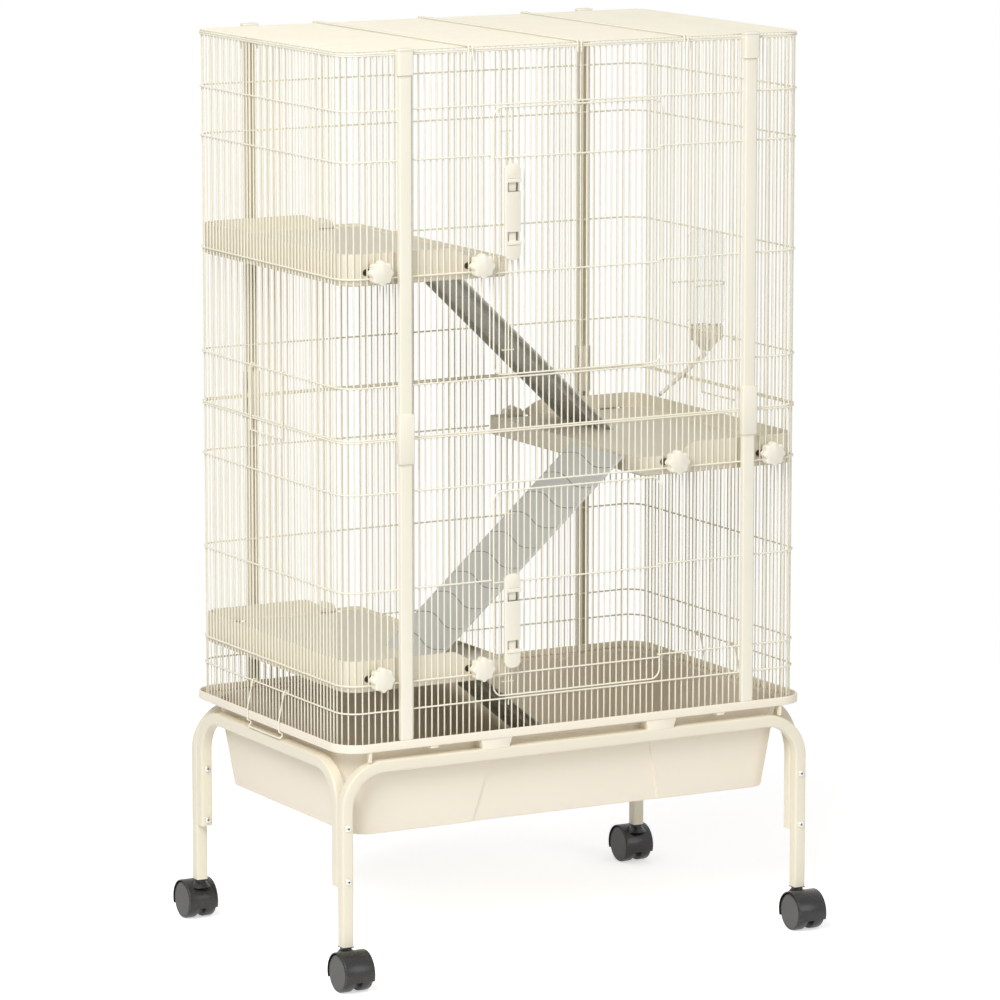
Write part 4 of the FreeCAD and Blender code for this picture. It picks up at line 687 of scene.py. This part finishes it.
def base_tray():
    """The tub with its flanged rim, and the ribs, lugs and tabs that hang under the flange."""
    draft = Draft()

    def inside(z, inset=0.0):
        return draft.ring(tub_loop(z, inset, inner=True))

    outer = [draft.ring(tub_loop(TRAY_LOW.z + up, into, RECESS_DEEP)) for into, up in quarter(TUB_FOOT_EDGE)]
    outer += [draft.ring(tub_loop(z, 0, RECESS_DEEP)) for z in (*OUTER_LEVELS, FLANGE_Z - RECESS_END)]
    outer += [draft.ring(tub_loop(FLANGE_Z - drop)) for drop in (RECESS_FADE, FILLET_DROP)]
    outer.append(draft.ring(tub_loop(FLANGE_Z, -FILLET_OUT)))
    outer += [draft.ring(rim_loop(FLANGE_Z + up, into)) for into, up in quarter(RIM_EDGE, 3)]
    outer += [draft.ring(rim_loop(TRAY_HIGH.z + up, into)) for into, up in half_round(RIM_WALL, 8)]
    floor_rim = FLANGE_Z + FLANGE
    outer += [draft.ring(rim_loop(floor_rim + up, RIM_WALL + FLOOR_EDGE - into))
              for into, up in reversed(quarter(FLOOR_EDGE, 3))]
    inner = [outer[-1]] + [inside(floor_rim - drop, inset) for drop, inset in MOUTH]
    inner += [inside(z) for z in INNER_LEVELS]
    inner += [inside(TRAY_LOW.z + TUB_WALL + up, into) for into, up in reversed(quarter(TUB_FLOOR_EDGE))]
    draft.skin(outer, ends=(True, False))
    # The inner skin takes the second material, the tub's painted shade
    draft.skin(inner, paint=1, ends=(False, True))

    deep_in, deep_out = TRAY_HIGH.y - TUB_IN_Y - TUB_SLOPE / 4, TRAY_HIGH.y - RIM_WALL / 2
    foot, top = FLANGE_Z - LUG_TALL - LUG_SINK, FLANGE_Z + SINK
    rib_x = TRAY_HIGH.x - TUB_IN_X - RIB_IN

    def hang(way, x, half_top, half_foot, low, near, edge):
        points = [(x - half_top, top), (x - half_foot, low), (x + half_foot, low), (x + half_top, top)]
        draft.slab(pulled_in(points), lambda a, b, depth: Vector((a, way * depth, b)), near, deep_out, edge)

    for way in (-1, 1):
        for side in (-1, 1):
            hang(way, side * rib_x, RIB_HALF, RIB_HALF, foot, deep_out - RIB_DEEP, RIB_EDGE)
            hang(way, side * LUG_X, LUG_TOP, LUG_FOOT, foot, deep_in, LUG_EDGE)
            hang(way, side * TAB_X, TAB_HALF, TAB_HALF - TAB_LEAN, FLANGE_Z - TAB_TALL, deep_in, LUG_EDGE)
    finish_piece("moulded_tray", draft, "base_tray", [TRAY, TRAY_INSIDE_SHADE])


base_tray()


# Platforms: loops whose height follows the dip of the walls

def platform(node):
    """A moulded platform with a dip in its walls and slots for the knobs."""
    low, high = box_of(node)
    low.z -= DECK_SKIRT
    way = 1 if high.x > -low.x else -1
    inner_x, outer_x = (low.x, high.x) if way > 0 else (-high.x, -low.x)
    half_w, half_d = (outer_x - inner_x) / 2, high.y
    middle = (outer_x + inner_x) / 2
    tall, run = high.z - low.z, DIP_FAR - DIP_NEAR
    dip = [(inner_x - middle + DIP_NEAR + run * k / DIP_STEPS, 0) for k in range(DIP_STEPS + 1)]
    corners = (DECK_CORNER, DECK_EDGE_CORNER, DECK_EDGE_CORNER, DECK_CORNER)

    def top(x):
        share = min(1, max(0, (x - inner_x - DIP_NEAR) / run))
        ease = share * share * (3 - 2 * share)
        return low.z + DECK_LOW + (tall - DECK_LOW) * ease

    def loop(inset, height):
        radii = [max(corner - inset, 1) for corner in corners]
        points = plan_loop(half_w - inset, half_d - inset, radii, 0, dip, 8)
        return [Vector((way * (middle + point.x), way * point.y, height(middle + point.x)))
                for point in points]

    loops = [loop(into, lambda x, up=up: low.z + up) for into, up in quarter(DECK_FOOT_EDGE)]
    loops += [loop(into, lambda x, up=up: top(x) + up) for into, up in half_round(DECK_WALL, 6)]
    loops += [loop(DECK_WALL + into, lambda x, up=up: low.z + DECK_FLOOR + up)
              for into, up in reversed(quarter(DECK_FLOOR_EDGE))]
    draft = Draft()
    draft.loft(loops)
    piece = finish_piece(node + "_moulding", draft, node, [DECK_PAINTED_SHADE, POCKET_SHADE])
    holes = Draft()
    slot = rounded_box(SLOT_HALF, STUD_R + SLOT_PLAY, STUD_R + SLOT_PLAY - SHY)
    level = node.split("_")[0]
    for knob in [name for name in nodes_ending("_knob") if name.startswith(level)]:
        knob_low, knob_high = box_of(knob)
        centre = (knob_low + knob_high) / 2
        side = 1 if centre.y > 0 else -1
        holes.loft([Vector((centre.x + a, side * (half_d + depth), centre.z + b)) for a, b in slot]
                   for depth in (-SLOT_DEEP, OVERRUN))
    # The slots' walls take the second material, the painted shade of the pockets
    carve(piece, holes, 1)
    dress(piece, node, [DECK_PAINTED_SHADE, POCKET_SHADE])


for name in ("upper_platform", "middle_platform", "lower_platform"):
    platform(name)


# Ramps: a tread with wavy grooves on top, rails and fine ridges below

def ramp_section(half, deep):
    """Section of a ramp as (across, up) pairs: its top, its right side with a rail, and its underside."""
    tread, rail = half - RAMP_EDGE, half - RAIL_IN
    inner = rail - RAMP_RAIL_W
    top = [(-tread + 2 * tread * k / RAMP_STEPS, 0) for k in range(RAMP_STEPS + 1)]
    right = [(half - RAMP_SOFT, -RAMP_SOFT), (half, -RAMP_EDGE),
             (half, -RAMP_TREAD + RAMP_BEVEL), (half - RAMP_BEVEL, -RAMP_TREAD),
             (rail, -RAMP_TREAD), (rail, -deep + RAMP_BEVEL), (rail - RAMP_BEVEL, -deep),
             (inner + RAMP_BEVEL, -deep), (inner, -deep + RAMP_BEVEL),
             (inner, -RAMP_TREAD - RAIL_FILLET_DROP)]
    under = [(inner - RAIL_FILLET_IN, -RAMP_TREAD), (-inner + RAIL_FILLET_IN, -RAMP_TREAD)]
    return top, right, under


def ramp_rows(length):
    """Places along a ramp, each with the depth of the top there and whether a groove's face ends at it."""
    rows = []
    line = FIRST_LINE
    while line < length - LAST_LINE:
        rows += [(line - GROOVE_HALF, 0.0, False), (line - GROOVE_FLOOR, -GROOVE_DEEP, True),
                 (line + GROOVE_FLOOR, -GROOVE_DEEP, True), (line + GROOVE_HALF, 0.0, True)]
        line += LINE_PITCH
    taken = [row[0] for row in rows]
    count = int(length / RIDGE_PITCH)
    for place in [length * k / count for k in range(count + 1)]:
        if all(abs(place - other) > RIDGE_CLEAR for other in taken):
            rows.append((place, 0.0, False))
    return sorted(rows)


def ramp(node):
    """A sloping tread, drawn row by row from its upper end."""
    low, high = box_of(node)
    tilt = math.radians(RAMP_TILT[node])
    deep = RAMP_TREAD + RAMP_RAIL
    way = 1 if high.x > -low.x else -1
    along = Vector((way * math.cos(tilt), 0, -math.sin(tilt)))
    normal = Vector((way * math.sin(tilt), 0, math.cos(tilt)))
    across = Y * way
    start_x = (low.x if way > 0 else high.x) + way * deep * math.sin(tilt)
    start = Vector((start_x, (low.y + high.y) / 2, high.z))
    length = (high.z - low.z - deep * math.cos(tilt)) / math.sin(tilt)
    half = (high.y - low.y) / 2
    top, right, under = ramp_section(half, deep)
    section = top + right + under + [(-a, b) for a, b in reversed(right)]
    first_under = len(top) + len(right)
    rows = ramp_rows(length)
    draft = Draft()
    rings = []
    for number, (place, depth, _) in enumerate(rows):
        calm = min(1, place / CALM, (length - place) / CALM)
        points = []
        for k, (a, b) in enumerate(section):
            s, n = place, b
            if k < len(top):
                s += calm * WAVE * math.sin(math.pi * a / half)
                n += depth if 0 < k < RAMP_STEPS else 0
            elif first_under <= k < first_under + len(under):
                n -= RIDGE_DEEP * (number % 2)
            points.append(start + along * s + across * a + normal * n)
        rings.append(draft.ring(points))
    for number, (near, far) in enumerate(zip(rings, rings[1:])):
        groove = rows[number + 1][2]
        for k in range(len(section)):
            after = (k + 1) % len(section)
            # Faces below the tread's edge take the underside's painted shade
            below = len(top) + 2 <= k < len(section) - 3
            # Groove faces on the top take the grooves' painted shade
            paint = 2 if below else 1 if groove and k < RAMP_STEPS else 0
            draft.face((near[k], near[after], far[after], far[k]), paint)
    draft.face(reversed(rings[0]))
    draft.face(rings[-1])
    finish_piece(node + "_tread", draft, node, [RAMP, RAMP_GROOVE_SHADE, RAMP_UNDER_SHADE], 30)


for name in RAMP_TILT:
    ramp(name)


# Latches: a thin plate in front of a narrower core, with two windows for the sliders

def block(draft, near, far, edge=0.0):
    """A box between two corners, with its edges rounded off or sharp."""
    low, high = Vector(near), Vector(far)
    half, middle = (high - low) / 2, (low + high) / 2

    def outline(inset):
        return rounded_box(half.x - inset, half.z - inset, edge, 3)

    if edge:
        draft.slab(outline, lambda a, b, y: Vector((middle.x + a, y, middle.z + b)), low.y, high.y, edge)
    else:
        corners = ((low.x, low.y), (high.x, low.y), (high.x, high.y), (low.x, high.y))
        draft.loft([Vector((x, y, z)) for x, y in corners] for z in (low.z, high.z))


def span(middle, way, near, far):
    """Two heights above or below the middle of a latch, the lower one first."""
    return sorted((middle + way * near, middle + way * far))


def latch_plate(node):
    """The plate, its core, the windows, the sliders' track and the slots of the bolts' necks."""
    low, high = box_of(node)
    middle, half = (low + high) / 2, (high - low) / 2
    inner, floor = low.y + LATCH_SKIN, high.y - LATCH_BACK

    def outline(inset):
        return rounded_box(half.x - inset, half.z - inset, LATCH_ROUND - inset, 8)

    draft = Draft()
    draft.slab(outline, lambda a, b, y: Vector((middle.x + a, y, middle.z + b)), low.y, inner, LATCH_BEVEL)
    piece = finish_piece(node + "_cover", draft, node, [TRIM, POCKET_SHADE])

    # Cuts take the second material by default: painted shade on the windows, the sliders' track and the neck
    # slots
    def work(near, far, paint=1, operation="DIFFERENCE"):
        tool = Draft()
        block(tool, near, far)
        carve(piece, tool, paint, operation)

    work((low.x + LATCH_EDGE, inner - SINK, low.z + CORE_SHORT),
         (high.x - CORE_SIDE, high.y, high.z - CORE_SHORT), 0, "UNION")
    for way in (-1, 1):
        foot, head = span(middle.z, way, WINDOW_NEAR, WINDOW_FAR)
        work((low.x + LATCH_EDGE + WINDOW_SIDE, low.y - OVERRUN, foot), (high.x + OVERRUN, floor, head))
    work((SLIDER[0] - SLIDER_PLAY, inner, middle.z - WINDOW_FAR + SHY),
         (SLIDER[1] + SLIDER_PLAY, floor - SHY / 2, middle.z + WINDOW_FAR - SHY))
    for way in (-1, 1):
        foot, head = span(middle.z, way, WINDOW_NEAR - NECK_PLAY, WINDOW_FAR + NECK_PLAY)
        work((BOLT_X - NECK_HALF - NECK_PLAY, floor - NECK_SINK, foot),
             (BOLT_X + NECK_HALF + NECK_PLAY, high.y + OVERRUN, head))
    dress(piece, node, [TRIM, POCKET_SHADE])


def bolt(node):
    """A finger ledge and a slider in the window, joined through the plate to a round bolt behind it."""
    low, high = box_of(node)
    plate_low, plate_high = box_of(node.split("_")[0] + "_latch_plate")
    middle = (plate_low.z + plate_high.z) / 2
    way = 1 if low.z > middle else -1
    floor = plate_high.y - BOLT_BACK
    radius = BOLT_WIRE / 2
    ledge_end = WINDOW_FAR - LEDGE_TALL
    draft = Draft()
    foot, head = span(middle, way, ledge_end, WINDOW_FAR - LEDGE_PLAY)
    block(draft, (low.x + LEDGE_LEFT, low.y + LEDGE_FRONT, foot),
          (high.x - LEDGE_RIGHT, floor, head), LEDGE_EDGE)
    slide_foot, slide_head = span(middle, way, WINDOW_NEAR + SLIDER_PLAY, ledge_end + SLIDER_LAP)
    block(draft, (SLIDER[0], plate_low.y + LATCH_SKIN + SLIDER_DROP, slide_foot),
          (SLIDER[1], floor, slide_head), SLIDER_EDGE)
    block(draft, (BOLT_X - NECK_HALF, floor - NECK_PLAY, foot + NECK_SHORT),
          (BOLT_X + NECK_HALF, high.y, head - NECK_SHORT), NECK_EDGE)
    ends = (middle + way * (ledge_end + BOLT_LAP), high.z if way > 0 else low.z)
    draft.tube([Vector((BOLT_X, high.y - radius, z)) for z in ends], radius, sides=12)
    finish_piece(node + "_slide", draft, node, [TRIM])


for name in ("upper_latch_plate", "lower_latch_plate"):
    latch_plate(name)
for name in nodes_ending("_bolt"):
    bolt(name)


# Stand: bent square tube with rounded edges, and its screws

def stand_tube(node, along):
    """A tube that rises from one leg, bends level and bends down to the other leg."""
    low, high = box_of(node)
    across = Vector((along.y, along.x, 0))
    side = (high - low).dot(across)
    half = (high - low).dot(along) / 2 - side / 2
    flat = across * ((low + high) / 2).dot(across)
    bend_z = high.z - side / 2 - TUBE_BEND
    path = [flat - along * half + Z * low.z]
    path += arc(flat - along * (half - TUBE_BEND) + Z * bend_z, TUBE_BEND, 180, 90, along, Z, 16)
    path += arc(flat + along * (half - TUBE_BEND) + Z * bend_z, TUBE_BEND, 90, 0, along, Z, 16)
    path.append(flat + along * half + Z * low.z)
    draft = Draft()
    draft.sweep(path, rounded_box(side / 2, side / 2, TUBE_EDGE), along.cross(Z))
    finish_piece(node + "_tube", draft, node, [STAND])


for name in ("stand_front_frame", "stand_back_frame"):
    stand_tube(name, X)
for name in ("stand_left_frame", "stand_right_frame"):
    stand_tube(name, Y)


def dome(radius, tall, soft, foot, side, rise):
    """Profile of a round head: a soft foot, a straight side and a domed top."""
    profile = [(radius - soft, 0), (radius, foot), (radius, side)]
    profile += [(radius * math.cos(turn), side + rise * math.sin(turn)) for turn in angles(12, 72, 5)]
    return profile + [(DOME_TIP, tall)]


def cross_outline():
    """A cross with four equal arms."""
    arm, points = [(CROSS_THIN, CROSS_THIN), (CROSS_THIN, CROSS_ARM), (-CROSS_THIN, CROSS_ARM)], []
    for _ in range(4):
        points += arm
        arm = [(-b, a) for a, b in arm]
    return points


def stand_fasteners():
    """Screws with round heads and nuts with round ends, each with a cross recess."""
    draft, crosses = Draft(), Draft()
    for low, high, _ in loose_parts("stand_fasteners"):
        middle, length = (low + high) / 2, high.y - low.y
        way = 1 if middle.y > 0 else -1
        if length > SCREW_LONG:
            tall = SCREW_HEAD
            profile = [(SCREW_R, SCREW_SINK - length + SCREW_HEAD), (SCREW_R, -SCREW_SINK)]
            profile += dome(SCREW_HEAD_R, tall, HEAD_SOFT, HEAD_FOOT, HEAD_SIDE, HEAD_RISE)
        else:
            way, tall = -way, length
            profile = dome((high.x - low.x) / 2, tall, NUT_SOFT, NUT_FOOT, tall - NUT_CROWN, NUT_RISE)
        face = high.y if way > 0 else low.y
        draft.lathe(profile, Vector((middle.x, face - way * tall, middle.z)), Y * way, X, 32)
        crosses.loft([Vector((middle.x + a * share, face + way * depth, middle.z + b * share))
                      for a, b in cross_outline()] for depth, share in CROSS_CUT)
    piece = finish_piece("stand_screws", draft, "stand_fasteners", [STEEL, RECESS_SHADE])
    # The cross recesses take the second material, the painted shade
    carve(piece, crosses, 1)
    dress(piece, "stand_fasteners", [STEEL, RECESS_SHADE])


stand_fasteners()


# Knobs, casters and sockets

def knob(node):
    """Soft lobes with rounded edges on a stud."""
    low, high = box_of(node)
    middle, radius = (low + high) / 2, (high.x - low.x) / 2
    way = 1 if middle.y > 0 else -1
    face, end = (high.y, low.y) if way > 0 else (low.y, high.y)
    loops = []
    for depth, share in KNOB_BACK + KNOB_FRONT:
        points, y = [], face - way * depth
        for turn in around(12 * LOBES):
            reach = radius * share * (1 - LOBE + LOBE * math.cos(LOBES * turn))
            points.append((middle.x + reach * math.cos(turn), y, middle.z + reach * math.sin(turn)))
        loops.append(points)
    draft = Draft()
    draft.loft(loops)
    start = face - way * (KNOB_DEEP - STUD_SINK)
    length = abs(end - start)
    draft.lathe([(STUD_R, 0), (STUD_R, length - STUD_EDGE), (STUD_R - STUD_EDGE, length)],
                Vector((middle.x, start, middle.z)), -Y * way, X, 20)
    finish_piece(node + "_star", draft, node, [TRIM])


for name in nodes_ending("_knob"):
    knob(name)


def caster_wheels(node):
    """Two wheels with hub discs on one axle; gives the axle's middle."""
    low, high = box_of(node)
    middle, radius = (low + high) / 2, (high.z - low.z) / 2
    inner, outer = WHEEL_GAP / 2, WHEEL_GAP / 2 + WHEEL_W
    wheel = [(AXLE_R, inner)] + [(radius - a, inner + b) for a, b in WHEEL_INSIDE]
    wheel += [(radius - a, outer - b) for a, b in WHEEL_OUTSIDE] + [(AXLE_R, outer - WHEEL_OUTSIDE[-1][1])]
    hub = [(HUB_R, outer - HUB_BACK)] + [(radius - a, outer - b) for a, b in HUB_RIM] + [(HUB_R, outer)]
    draft = Draft()
    for way in (-1, 1):
        draft.lathe(wheel, middle, X * way, Z, 64, 1)
        draft.lathe(hub, middle, X * way, Z, 64)
    draft.lathe([(AXLE_R, -inner - AXLE_LAP), (AXLE_R, inner + AXLE_LAP)], middle, X, Z, 20, 1)
    finish_piece(node + "_pair", draft, node, [RUBBER, BLACK])
    return middle


def caster_hood(node, axle):
    """A drum over both wheels with a web between them and a collar at the stem."""
    low, high = box_of(node)
    half, radius = (high.x - low.x) / 2, (high.y - low.y) / 2
    stem = JOINTS[node.replace("_hood", "_swivel")]["pos_m"]

    def place(a, b, depth):
        return axle + Y * a + Z * b + X * depth

    def over(reach, level):
        """Points over the wheels, between the angles at which a circle of radius level meets the foot."""
        foot = math.asin(HOOD_FOOT / level)
        turns = [-foot + (math.pi + 2 * foot) * k / 36 for k in range(37)]
        return [(reach * math.cos(turn), reach * math.sin(turn)) for turn in turns]

    def arch(inset):
        outer, inner = radius - inset, radius - HOOD_WALL + HOOD_INNER_SHARE * inset
        return over(outer, outer) + over(inner, inner)[::-1]

    draft = Draft()
    draft.slab(arch, place, -half, half, HOOD_EDGE)
    web, thick = over(radius - WEB_IN, radius - HOOD_WALL), WHEEL_GAP / 2 - WEB_PLAY
    draft.slab(pulled_in(web), place, -thick, thick, WEB_PLAY)
    base = Vector((stem[0] / MM, stem[1] / MM, axle.z + radius - COLLAR_SINK))
    tall = high.z - base.z
    collar = [(COLLAR_R + COLLAR_FOOT, 0)] + [(COLLAR_R + out, tall - down) for out, down in COLLAR_STEPS]
    draft.lathe(collar + [(STEM_R, tall)], base, Z, X, 40)
    finish_piece(node + "_drum", draft, node, [BLACK], 45)


for name in nodes_ending("_wheels"):
    caster_hood(name.replace("_wheels", "_hood"), caster_wheels(name))
softened("caster_sockets", BLACK, SOCKET_EDGE)


# Water bottle with its cap, drinking tube and holder

BOTTLE = box_of("water_bottle")
BOTTLE_AXIS = Vector(((BOTTLE[0].x + BOTTLE[1].x) / 2, (BOTTLE[0].y + BOTTLE[1].y) / 2, 0))
BOTTLE_R = (BOTTLE[1].x - BOTTLE[0].x) / 2


def water_bottle():
    """A clear shell, neck down, with a domed end."""
    low, high = BOTTLE[0].z, BOTTLE[1].z
    foot, bend = low + BOTTLE_FOOT, high - BOTTLE_DOME
    outer = [(BOTTLE_NECK, low)] + [(BOTTLE_NECK + out, foot + up) for out, up in NECK_STEPS]
    outer += [(BOTTLE_R - into, foot + up) for into, up in SHOULDER] + [(BOTTLE_R, bend)]
    outer += [(BOTTLE_R - BOTTLE_DOME * (1 - math.cos(turn)), bend + BOTTLE_DOME * math.sin(turn))
              for turn in angles(10, 90, 8)]
    outer += [(TOP_OUTSIDE, high)]
    inner = [(max(radius - BOTTLE_WALL, TOP_INSIDE), z - BOTTLE_WALL * max(0, (z - bend) / BOTTLE_DOME))
             for radius, z in reversed(outer)]
    draft = Draft()
    draft.lathe(outer + inner, BOTTLE_AXIS, Z, X, 64, closed=True)
    finish_piece("bottle_shell", draft, "water_bottle", [CLEAR])


def bottle_cap():
    """A knurled screw cap with a nose for the drinking tube."""
    low, high = box_of("bottle_cap")
    wall, mouth = (high.x - low.x) / 2, BOTTLE_NECK + CAP_PLAY
    profile = [(CAP_NOSE + out, low.z + up) for out, up in NOSE_STEPS]
    profile += [(wall - into, high.z - CAP_SKIRT + up) for into, up in SKIRT_STEPS]
    profile += [(wall - into, high.z - down) for into, down in BRIM_STEPS]
    profile += [(mouth, high.z), (mouth, high.z - CAP_FLOOR)]
    loops = []
    for radius, z in profile:
        knurl = KNURL if radius > wall - KNURL_NEAR else 0
        points = []
        for k, turn in enumerate(around(KNURL_SIDES)):
            reach = radius - knurl * (k % 2)
            points.append(BOTTLE_AXIS + Z * z + X * (reach * math.cos(turn)) + Y * (reach * math.sin(turn)))
        loops.append(points)
    draft = Draft()
    draft.loft(loops)
    finish_piece("screw_cap", draft, "bottle_cap", [CAP])


def drinking_tube():
    """A sloping plastic tube with a steel tip."""
    low, high = box_of("drinking_tube")
    tilt = math.radians(SPOUT_TILT)
    along = Vector((-math.cos(tilt), 0, -math.sin(tilt)))
    lift = SPOUT_R * math.cos(tilt)
    start = Vector((high.x - SPOUT_R * math.sin(tilt), BOTTLE_AXIS.y, high.z - lift))
    length = (high.z - low.z - 2 * lift) / math.sin(tilt)
    bare = length - SPOUT_TIP
    plastic = [(SPOUT_R - SPOUT_EDGE, 0), (SPOUT_R, SPOUT_EDGE), (SPOUT_R, bare - SPOUT_END),
               (SPOUT_R - SPOUT_END, bare), (SPOUT_BORE, bare), (SPOUT_BORE, 0)]
    steel = [(SPOUT_R - TIP_IN, bare - TIP_LAP)]
    steel += [(SPOUT_R - into, length - back) for into, back in TIP_STEPS]
    steel += [(SPOUT_BORE, length), (SPOUT_BORE, bare - TIP_LAP)]
    draft = Draft()
    for paint, profile in enumerate((plastic, steel)):
        draft.lathe(profile, start, along, Y, 32, paint, closed=True)
    finish_piece("spout", draft, "drinking_tube", [CAP, STEEL])


def bottle_holder():
    """A wire bent round the bottle, with its two ends inside the cage."""
    low, high = box_of("bottle_holder")
    radius, z = (high.z - low.z) / 2, (low.z + high.z) / 2
    ring = BOTTLE_R + HOLDER_PLAY + radius
    centre = Vector((BOTTLE_AXIS.x, BOTTLE_AXIS.y, z))
    inside = low.x + radius
    ends = []
    for end, y in ((high.y, centre.y + ring), (low.y, centre.y - ring)):
        ends.append([Vector((inside, end, z)), Vector((inside, y, z)), Vector((centre.x, y, z))])
    path = filleted(ends[0], HOLDER_BEND) + arc(centre, ring, 80, -80, X, Y, 32)
    path += filleted(ends[1][::-1], HOLDER_BEND)
    draft = Draft()
    draft.tube(path, radius)
    finish_piece("holder_wire", draft, "bottle_holder", [WIRE])


water_bottle()
bottle_cap()
drinking_tube()
bottle_holder()


# Spring clips: round wire with wound eyes

def clip(node):
    """A wire loop that hangs from two eyes; at the tray its legs jog under the rim."""
    low, high = box_of(node)
    way = 1 if high.x > 0 else -1
    pivot = JOINTS[node + "_hinge"]["pos_m"]
    hang_x, hang_z = abs(pivot[0]) / MM, pivot[2] / MM
    wind = high.z - hang_z - CLIP_R
    outer = (high.x if way > 0 else -low.x) - CLIP_R
    bar = low.z + CLIP_R
    leg = [(hang_x + wind, hang_z)]
    if "tray" in node:
        jog = outer - CLIP_JOG
        leg += [(outer, TRAY_HIGH.z + CLIP_OVER), (outer, FLANGE_Z - JOG_TOP), (jog, FLANGE_Z - JOG_FOOT),
                (jog, bar + TOE_UP), (outer - TOE_IN, bar)]
    else:
        leg.append((outer, bar))
    corners = [Vector((way * x, CLIP_Y, z)) for x, z in leg]
    corners += [Vector((way * x, -CLIP_Y, z)) for x, z in reversed(leg)]
    draft = Draft()
    draft.tube(filleted(corners, CLIP_BEND), CLIP_R)
    for side in (-1, 1):
        centre = Vector((way * hang_x, side * CLIP_Y, hang_z))
        draft.tube(arc(centre, wind, 0, 342, X, Z, 19), CLIP_R, closed=True)
    finish_piece(node + "_wire", draft, node, [WIRE])


for name in nodes_ending("_clip"):
    clip(name)


# Stage: pale floor, soft light, camera of the photograph

def seen_rays(nodes, links):
    """One where the ray is of a kind that sees the white surroundings, otherwise zero."""
    path = nodes.new("ShaderNodeLightPath")
    total = path.outputs[SEEN_RAYS[0]]
    for kind in SEEN_RAYS[1:]:
        most = nodes.new("ShaderNodeMath")
        most.operation = "MAXIMUM"
        links.new(total, most.inputs[0])
        links.new(path.outputs[kind], most.inputs[1])
        total = most.outputs["Value"]
    return total


def floor_white():
    """White that is lifted a little and fades to clear away from the cage."""
    material = bpy.data.materials.new("floor_white")
    material.use_nodes = True
    nodes, links = material.node_tree.nodes, material.node_tree.links
    shader = nodes["Principled BSDF"]
    shader.inputs["Base Color"].default_value = (0.97, 0.97, 0.97, 1)
    shader.inputs["Roughness"].default_value = 0.9
    shader.inputs["Specular IOR Level"].default_value = 0
    place = nodes.new("ShaderNodeNewGeometry")
    far = nodes.new("ShaderNodeVectorMath")
    far.operation = "LENGTH"
    links.new(place.outputs["Position"], far.inputs[0])
    fade = add_node(nodes, "MapRange", {"From Min": FADE_START, "From Max": FADE_END})
    fade.interpolation_type = "SMOOTHSTEP"
    links.new(far.outputs["Value"], fade.inputs["Value"])
    clear = nodes.new("ShaderNodeBsdfTransparent")
    blend = nodes.new("ShaderNodeMixShader")
    links.new(fade.outputs["Result"], blend.inputs["Fac"])
    lift = nodes.new("ShaderNodeEmission")
    level = nodes.new("ShaderNodeMath")
    level.operation = "MULTIPLY"
    level.inputs[1].default_value = FLOOR_LIFT
    links.new(seen_rays(nodes, links), level.inputs[0])
    links.new(level.outputs["Value"], lift.inputs["Strength"])
    both = nodes.new("ShaderNodeAddShader")
    links.new(shader.outputs["BSDF"], both.inputs[0])
    links.new(lift.outputs["Emission"], both.inputs[1])
    links.new(both.outputs["Shader"], blend.inputs[1])
    links.new(clear.outputs["BSDF"], blend.inputs[2])
    links.new(blend.outputs["Shader"], nodes["Material Output"].inputs["Surface"])
    return material


def floor_sheet():
    """A round floor under the cage."""
    mesh = bpy.data.meshes.new("floor")
    points = [(FLOOR_REACH * math.cos(turn), FLOOR_REACH * math.sin(turn), 0) for turn in around(FLOOR_SIDES)]
    mesh.from_pydata(points, [], [tuple(range(FLOOR_SIDES))])
    floor = linked("floor", mesh)
    mesh.materials.append(floor_white())


def surroundings():
    """White where it is seen, and dimmer as a light on the cage."""
    world = bpy.data.worlds.new("studio")
    bpy.context.scene.world = world
    world.use_nodes = True
    nodes, links = world.node_tree.nodes, world.node_tree.links
    light = nodes["Background"]
    light.inputs["Color"].default_value = (1, 1, 1, 1)
    light.inputs["Strength"].default_value = WORLD_LEVEL
    seen = add_node(nodes, "Background", {"Color": (1, 1, 1, 1), "Strength": 1})
    blend = nodes.new("ShaderNodeMixShader")
    links.new(seen_rays(nodes, links), blend.inputs["Fac"])
    links.new(light.outputs["Background"], blend.inputs[1])
    links.new(seen.outputs["Background"], blend.inputs[2])
    links.new(blend.outputs["Shader"], nodes["World Output"].inputs["Surface"])


def lamp(name, place, size, power):
    """A round lamp that is aimed at the cage."""
    data = bpy.data.lights.new(name, "AREA")
    data.shape, data.size, data.energy = "DISK", size, power
    item = linked(name, data)
    item.location = place
    item.rotation_euler = (Vector(LAMP_AIM) - Vector(place)).to_track_quat("-Z", "Y").to_euler()


def camera():
    """The photograph's view: a long lens from the left front, a little above."""
    data = bpy.data.cameras.new("camera")
    data.lens, data.sensor_width = LENS, SENSOR
    item = linked("camera", data)
    azimuth, elevation = math.radians(VIEW_AZIMUTH), math.radians(VIEW_ELEVATION)
    flat = VIEW_DISTANCE * math.cos(elevation)
    rise = VIEW_DISTANCE * math.sin(elevation)
    item.location = VIEW_TARGET + Vector((-flat * math.sin(azimuth), -flat * math.cos(azimuth), rise))
    item.rotation_euler = (VIEW_TARGET - item.location).to_track_quat("-Z", "Y").to_euler()
    bpy.context.scene.camera = item


floor_sheet()
surroundings()
for row in LAMPS:
    lamp(*row)
camera()
bpy.context.scene.view_settings.view_transform = "Standard"
